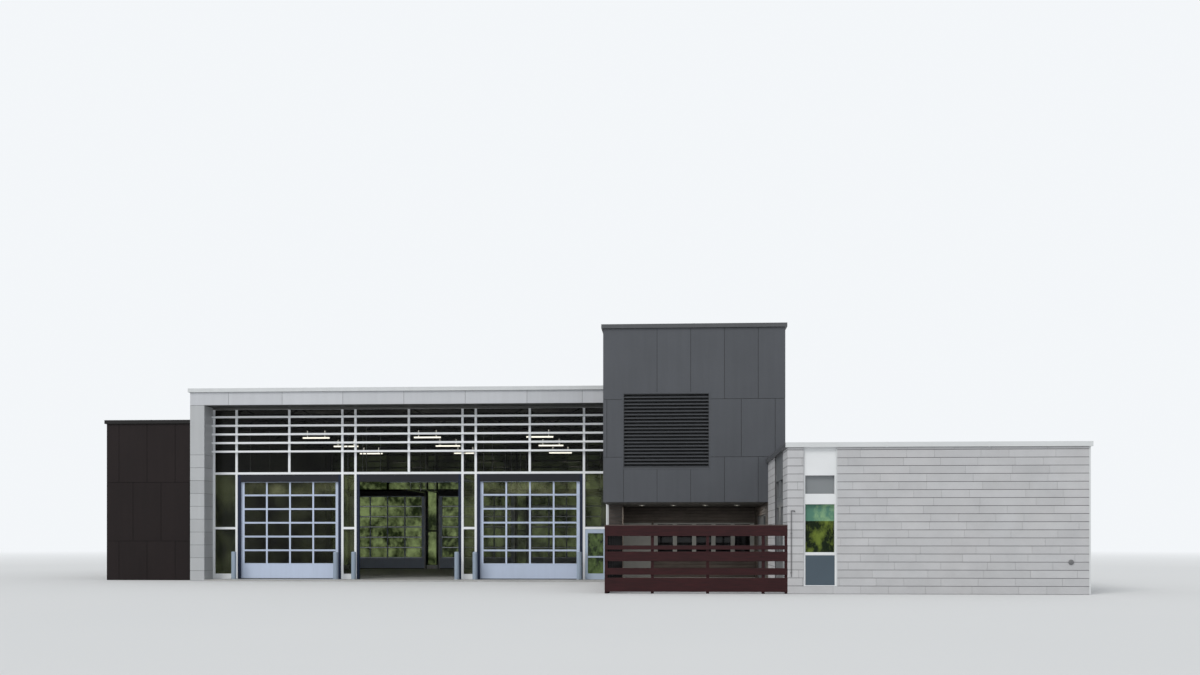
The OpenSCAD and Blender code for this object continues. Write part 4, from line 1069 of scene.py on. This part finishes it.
def door_sections(shape, seals, hinges, panes, wall):
    """One leaf on a wall plane whose w points to its outer face: framed sections, hinges, seal."""
    width, height = DOOR_L[1].x - DOOR_L[0].x, DOOR_L[1].z - DOOR_L[0].z
    row = (height - SOLID_H) / ROWS
    edge = LAP + END_STILE
    pane = (width - 2 * edge - (COLS - 1) * STILE) / COLS
    half = STILE / 2
    gap = SECTION_GAP / 2
    starts = [edge + i * (pane + STILE) for i in range(COLS)]
    uprights = list(zip([0] + [u + pane for u in starts], starts + [width]))
    tone = random.random()
    shape.slab(wall, (0, RUBBER, width, SOLID_H - gap), 0.004, LEAF_T, 0.004, tone)
    for u in [edge] + [start - half for start in starts[1:]] + [width - edge]:
        rib = (u - RIB_HALF, 2 * RUBBER, u + RIB_HALF, SOLID_H - RUBBER)
        shape.slab(wall, rib, LEAF_T, LEAF_T + 0.004, 0.002, tone)
    seals.slab(wall, (0, 0, width, RUBBER), 0.006, LEAF_T - 0.006, 0.004)
    for j in range(ROWS):
        tone = random.random()
        foot = SOLID_H + j * row
        sill, top = foot + half, foot + row - half
        head = foot + row - (gap if j < ROWS - 1 else 0)
        rails = [(0, foot + gap, width, sill), (0, top, width, head)]
        for rect in rails + [(u0, sill, u1, top) for u0, u1 in uprights]:
            shape.slab(wall, rect, 0.0, LEAF_T, BEVEL, tone)
        for u in starts:
            rect = (u, sill, u + pane, top)
            beads(seals, wall, rect, 0.006, 0.03)
            panes.slab(wall, grown(rect, SEAT), *PANE_DEPTHS)
        for u in (edge / 2, width / 2, width - edge / 2):
            hinges.slab(wall, (u - 0.03, foot - 0.04, u + 0.03, foot + 0.04), -0.006, 0.0)


def beads(shape, wall, rect, wide, w):
    """Four slim black seals round a pane."""
    for part in ring(rect, wide):
        shape.slab(wall, part, w - 0.012, w)


def door_leaf(name, walls, finish, node):
    """The leaves on the given planes, as sections, seals, hinges and panes."""
    shape, seals, hinges, panes = Shape(), Shape(), Shape(), Shape()
    for wall in walls:
        door_sections(shape, seals, hinges, panes, wall)
    shape.make("door_sections_" + name, SECTION_PAINT, "door_blue", replaces=[node])
    seals.make("door_seals_" + name, SEAL, "door_surround")
    hinges.make("door_hinges_" + name, GALVANISED, "track_steel")
    replaced = ["overhead_door_glass"] if name == "rear" else []
    panes.make("door_panes_" + name, finish, "glazing", replaces=replaced)


def overhead_doors():
    """Closed leaves at the left and the right, the raised one, and three closed at the rear."""
    for name, (lo, hi) in (("left", DOOR_L), ("right", DOOR_R)):
        door_leaf(name, [front(lo.x, hi.y, lo.z)], DOOR_GLASS, "overhead_door_" + name)
    raised = Wall(DOOR_M[0], (1, 0, 0), (0, 0, 1), (0, 1, 0))
    door_leaf("middle", [raised], DOOR_GLASS, "overhead_door_middle")
    lo = low("rear_overhead_doors")
    rears = [rear(DOOR_L[1].x + i * PITCH, lo.y, lo.z) for i in range(3)]
    door_leaf("rear", rears, REAR_GLASS, "rear_overhead_doors")


def copings():
    """Joint covers across the copings, one every few metres."""
    proud, reach, half = 0.004, 0.45, 0.03
    for name, finish, slot, pitch in (("hall_coping", LIGHT_COPING, "light_coping", 3.0),
                                      ("block_coping", BLACK_COPING, "light_coping", 2.1),
                                      ("tower_coping", DARK_COPING, "dark_coping", 3.0),
                                      ("wing_coping", LIGHT_COPING, "light_coping", 3.0)):
        lo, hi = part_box(name)
        shape = Shape()
        for x in evenly(lo.x, hi.x, round((hi.x - lo.x) / pitch)):
            for y0, y1 in ((lo.y - proud, lo.y + reach), (hi.y - reach, hi.y + proud)):
                if name == "wing_coping" and y0 > 0 and x < X_TOWER_R + 0.1:
                    continue
                if name == "hall_coping" and y0 < 0 and x > X_TOWER - 0.1:
                    continue
                shape.box((x - half, y0, lo.z - proud), (x + half, y1, hi.z + proud), bevel=0.002)
        shape.make(name + "_covers", finish, slot)


def roof_seams():
    """Lapped seams and drains of the roof membranes."""
    seams, drains = Shape(), Shape()
    dome = [(0, 0.19), (0.1, 0.19), (0.12, 0.12), (0.75, 0.10), (1.0, 0.045)]
    for node in ("hall_roof", "block_roof", "tower_roof", "wing_roof"):
        lo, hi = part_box(node)
        z0, z1 = hi.z - SUNK, hi.z + 0.004
        for y in evenly(lo.y, hi.y, round((hi.y - lo.y) / 2.0)):
            x0 = X_TOWER_R if node == "wing_roof" and y > Y_TOWER else lo.x
            seams.box((x0 + 0.01, y - 0.05, z0), (hi.x - 0.01, y + 0.05, z1), random.random(), 0.002)
        for share in (0.25, 0.75):
            x = lo.x + 0.7 * (hi.x - lo.x)
            y = lo.y + share * (hi.y - lo.y)
            drains.rod((x, y, z0), (x, y, hi.z + 0.11), dome, 24)
    seams.make("roof_seams", ROOFING, "roofing")
    drains.make("roof_drains", DRAIN, "roofing", smooth=True)


def upstands():
    """Membrane turned up the inner faces of the parapets, with a metal bar along its edge."""
    shape = Shape()
    for node, top in (("hall_roof", HALL_TOP), ("block_roof", BLOCK_TOP),
                      ("tower_roof", TOWER_TOP), ("wing_roof", WING_TOP)):
        lo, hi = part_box(node)
        x0, y1 = (X_TOWER_R, Y_TOWER) if node == "wing_roof" else (lo.x, hi.y)
        runs = [(rear(0, lo.y), -hi.x, -lo.x), (front(0, hi.y), x0, hi.x),
                (right(lo.x, 0), lo.y, y1), (left(hi.x, 0), -hi.y, -lo.y)]
        if node == "wing_roof":
            runs += [(front(0, Y_TOWER), lo.x, X_TOWER_R), (right(X_TOWER_R, 0), Y_TOWER, hi.y)]
        for wall, u0, u1 in runs:
            shape.slab(wall, (u0, hi.z, u1, top - 0.01), -SUNK, 0.004)
            shape.slab(wall, (u0, top - 0.06, u1, top - 0.025), 0.003, 0.009, 0.002)
    shape.make("roof_upstands", ROOFING, "roofing")


# Level bars of the upper glazing, as in the solids: how many, their pitch and half their height
BARS = 5
BAR_PITCH = 0.378
BAR_HALF = 0.04


def gaskets():
    """Black seals round the panes of the hall's front and rear glazing."""
    shape = Shape()
    half = MULLION / 2
    xs = [BAY_X[0] - SIDE_BAY]
    for x in BAY_X:
        xs += [x, x + DOOR_BAY / 2, x + DOOR_BAY]
    xs.append(BAY_X[2] + DOOR_BAY + SIDE_BAY)
    levels = [UPPER_Z + MULLION]
    for k in range(BARS, 0, -1):
        bar = SOFFIT - half - k * BAR_PITCH
        levels += [bar - BAR_HALF, bar + BAR_HALF]
    levels.append(SOFFIT - MULLION)
    for wall, sign in ((front(0, Y_GLAZE), 1), (rear(0, Y_REAR_GLAZE), -1)):
        for x0, x1 in zip(xs, xs[1:]):
            a, b = sorted((sign * (x0 + half), sign * (x1 - half)))
            for v0, v1 in zip(levels[::2], levels[1::2]):
                beads(shape, wall, (a, v0, b, v1), 0.008, -FRAME_D + 0.014)
    shape.make("glazing_seals", SEAL, "door_surround")


def bollards():
    """Base rings and bolts of the bollards, and the outermost two, which end the row."""
    feet, ends = Shape(), Shape()
    lo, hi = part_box("bollards")
    radius = (hi.y - lo.y) / 2
    y = (lo.y + hi.y) / 2
    places = []
    for x in BAY_X:
        places += [x + BOLLARD_LEFT, x + DOOR_BAY - BOLLARD_RIGHT]
    base = [(0, radius + 0.04), (0.5, radius + 0.04), (0.9, radius + 0.012), (1, radius + 0.004)]
    circle = radius + 0.026
    for x in places:
        feet.rod((x, y, FLOOR), (x, y, FLOOR + 0.03), base, 40)
        for k in range(6):
            turn = math.pi * (k + 0.5) / 3
            bx, by = x + circle * math.cos(turn), y + circle * math.sin(turn)
            feet.rod((bx, by, FLOOR + 0.01), (bx, by, FLOOR + 0.028), [(0, 0.008), (1, 0.008)], 6)
    feet.make("bollard_feet", GALVANISED, "track_steel", smooth=True)
    height = hi.z - FLOOR
    rounding = ((0.03, 0), (0.02, 0.002), (0.009, 0.009), (0.002, 0.02), (0, 0.03))
    post = [(0, radius)] + [(1 - down / height, radius - inward) for down, inward in rounding]
    for x in (places[0], places[-1]):
        ends.rod((x, y, FLOOR), (x, y, hi.z), post, 48)
    ends.make("end_bollards", BOLLARD, "bollard_paint", smooth=True)


# Round vent low on the wing's front
VENT_X = 18.632
VENT_Z = 1.053


def wall_fittings():
    """Round vent on the masonry, trims beside the window strip and at the corner."""
    vent, trim = Shape(), Shape()
    vent.rod((VENT_X, Y_WING - 0.012, VENT_Z), (VENT_X, Y_WING - 0.06, VENT_Z),
             [(0, 0.085), (0.5, 0.085), (0.8, 0.07), (1.0, 0.05)])
    vent.make("wall_vent", PIPE, "pipe_metal", smooth=True)
    x = X_WING + STRIP_X + STRIP_W
    for x0, x1, out, back, foot in ((x - 0.004, x + 0.018, 0.016, 0.05, STRIP_Z - 0.02),
                                    (X_WING_R - 0.03, X_WING_R + 0.018, 0.018, 0.03, 0)):
        trim.box((x0, Y_WING - out, foot), (x1, Y_WING + back, WING_TOP), bevel=BEVEL)
    trim.make("wall_trims", LIGHT_COPING, "light_coping")


def slab_joints():
    """Saw cuts in the hall slab, two in each bay and four across."""
    shape = Shape()
    half, z0, z1 = 0.004, FLOOR - SUNK, FLOOR + 0.0006
    for bay in BAY_X:
        for x in (bay - HALF_PIER, bay + DOOR_BAY / 2):
            shape.box((x - half, Y_PORTAL + 0.02, z0), (x + half, Y_REAR - 0.02, z1))
    for y in evenly(Y_PORTAL, Y_REAR, 5):
        shape.box((X_GLAZE + 0.3, y - half, z0), (X_TOWER - 0.01, y + half, z1))
    shape.make("slab_joints", SEAL, "slab")


def door_sill():
    """Threshold under the man door."""
    lo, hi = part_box("man_door_frame")
    sill = Shape()
    near, far = (lo.x, Y_GLAZE + 0.002, FLOOR), (hi.x - 0.01, Y_GLAZE + 0.055, FLOOR + 0.006)
    sill.box(near, far, bevel=0.002)
    sill.make("door_sill", GALVANISED, "track_steel")


def terrace_kerb():
    """Concrete strip between the boards of the hall's flank and the terrace slab."""
    strip = Shape()
    marks = stops(Y_PORTAL + LEG_D + BOARD_T, Y_BACK, 1.0)
    for y0, y1 in zip(marks, marks[1:]):
        lo, hi = (X_HALL_R + BOARD_T, y0 + 0.002, 0.0), (X_LEG_R + 0.004, y1 - 0.002, FLOOR)
        strip.box(lo, hi, random.random(), 0.004)
    strip.make("terrace_kerb", SLAB, "slab")


def strip_trims():
    """White uprights beside the panel at the foot of each strip, and a sill below it."""
    strips = [(front(X_WING, Y_WING), STRIP_X)]
    for wall, count, length in ((right(X_WING_R, Y_WING), RIGHT_STRIPS, Y_TOWER_R - Y_WING),
                                (rear(X_WING_R, Y_TOWER_R), REAR_STRIPS, X_WING_R - X_TOWER_R)):
        strips += [(wall, u) for u in strip_places(count, length)]
    shape = Shape()
    for wall, u in strips:
        a, b = u + 0.001, u + STRIP_W - 0.001
        for u0, u1 in ((a, u + STRIP_EDGE), (u + STRIP_W - STRIP_EDGE, b)):
            shape.slab(wall, (u0, STRIP_Z, u1, SILL_Z), -0.045, -0.032, 0.002)
        shape.slab(wall, (a, STRIP_Z + 0.001, b, STRIP_Z + 0.025), -0.045, 0.004, BEVEL)
    shape.make("strip_trims", WHITE, "window_white")


def build():
    """Every piece, in one order, so that each tone comes out the same in every run."""
    finish_solids()
    portal_panels()
    block_panels()
    tower_panels()
    masonry()
    terrace_boards()
    terrace_panels()
    soffit_panels()
    louvre_screen()
    overhead_doors()
    copings()
    roof_seams()
    upstands()
    gaskets()
    bollards()
    wall_fittings()
    slab_joints()
    door_sill()
    terrace_kerb()
    strip_trims()


# Stage: a pale floor, which fades into the background between two distances from its middle,
# and the background's colour
HALF_FLOOR = 300.0
FLOOR_Z = -0.003
FLOOR_FADE = (45, 150)
BACKDROP = (0.90, 0.925, 0.95)


def stage_floor():
    mesh = bpy.data.meshes.new("stage_floor")
    corners = [(-1, -1), (1, -1), (1, 1), (-1, 1)]
    points = [(x * HALF_FLOOR, y * HALF_FLOOR, FLOOR_Z) for x, y in corners]
    mesh.from_pydata(points, [], [[0, 1, 2, 3]])
    made = Finish("pale_floor", 0.9, 0.1)
    distance = made.node("ShaderNodeVectorMath", {0: made.coordinates["Object"]}, operation="LENGTH")
    far = made.remap(distance.outputs["Value"], *FLOOR_FADE, 0, 1)
    made.colour(made.blend(made.noise(0.05, 3), (0.66, 0.665, 0.67), (0.70, 0.70, 0.70)))
    output = made.tree.nodes["Material Output"]
    glow = made.light("ShaderNodeEmission", BACKDROP)
    made.surface(output, far, made.shader.outputs["BSDF"], glow)
    mesh.materials.append(made.mat)
    placed("stage_floor", mesh)


def world():
    """Soft light from all round, and a pale background for the camera, gloss and glass."""
    sky = bpy.data.worlds.new("studio")
    bpy.context.scene.world = sky
    sky.use_nodes = True
    made = Nodes(sky.node_tree)
    made.tree.nodes.clear()
    rays = made.node("ShaderNodeLightPath").outputs
    seen = made.either(rays["Is Camera Ray"], rays["Is Glossy Ray"])
    seen = made.either(seen, rays["Is Transmission Ray"])
    soft = made.light("ShaderNodeBackground", (0.93, 0.97, 1.0), 0.74)
    backdrop = made.light("ShaderNodeBackground", BACKDROP)
    made.surface(made.node("ShaderNodeOutputWorld"), seen, soft, backdrop)


def sun():
    """A broad, soft sun from the front left."""
    lamp = placed("soft_sun", bpy.data.lights.new("soft_sun", "SUN"), energy=1.25,
                  angle=math.radians(25), color=(1.0, 0.98, 0.95))
    lamp.rotation_euler = Vector((0.45, 0.75, -0.85)).to_track_quat("-Z", "Y").to_euler()


def soffit_lamps():
    """Light from the four round lights under the overhang."""
    for x, y in SOFFIT_LIGHTS:
        lamp = placed("soffit_light", bpy.data.lights.new("soffit_light", "AREA"), shape="DISK",
                      size=0.5, energy=36, color=(1.0, 0.95, 0.88))
        lamp.location = (x, y, UNDER - 0.08)


def camera():
    """The photograph's view."""
    eye = placed("camera", bpy.data.cameras.new("camera"), sensor_width=36, lens=CAMERA_LENS,
                 shift_y=CAMERA_SHIFT, clip_end=1000)
    eye.location = CAMERA_AT
    eye.rotation_euler = (math.pi / 2, 0, CAMERA_YAW)
    bpy.context.scene.camera = eye


camera()
build()
stage_floor()
world()
sun()
soffit_lamps()
bpy.context.scene.view_settings.view_transform = "Standard"
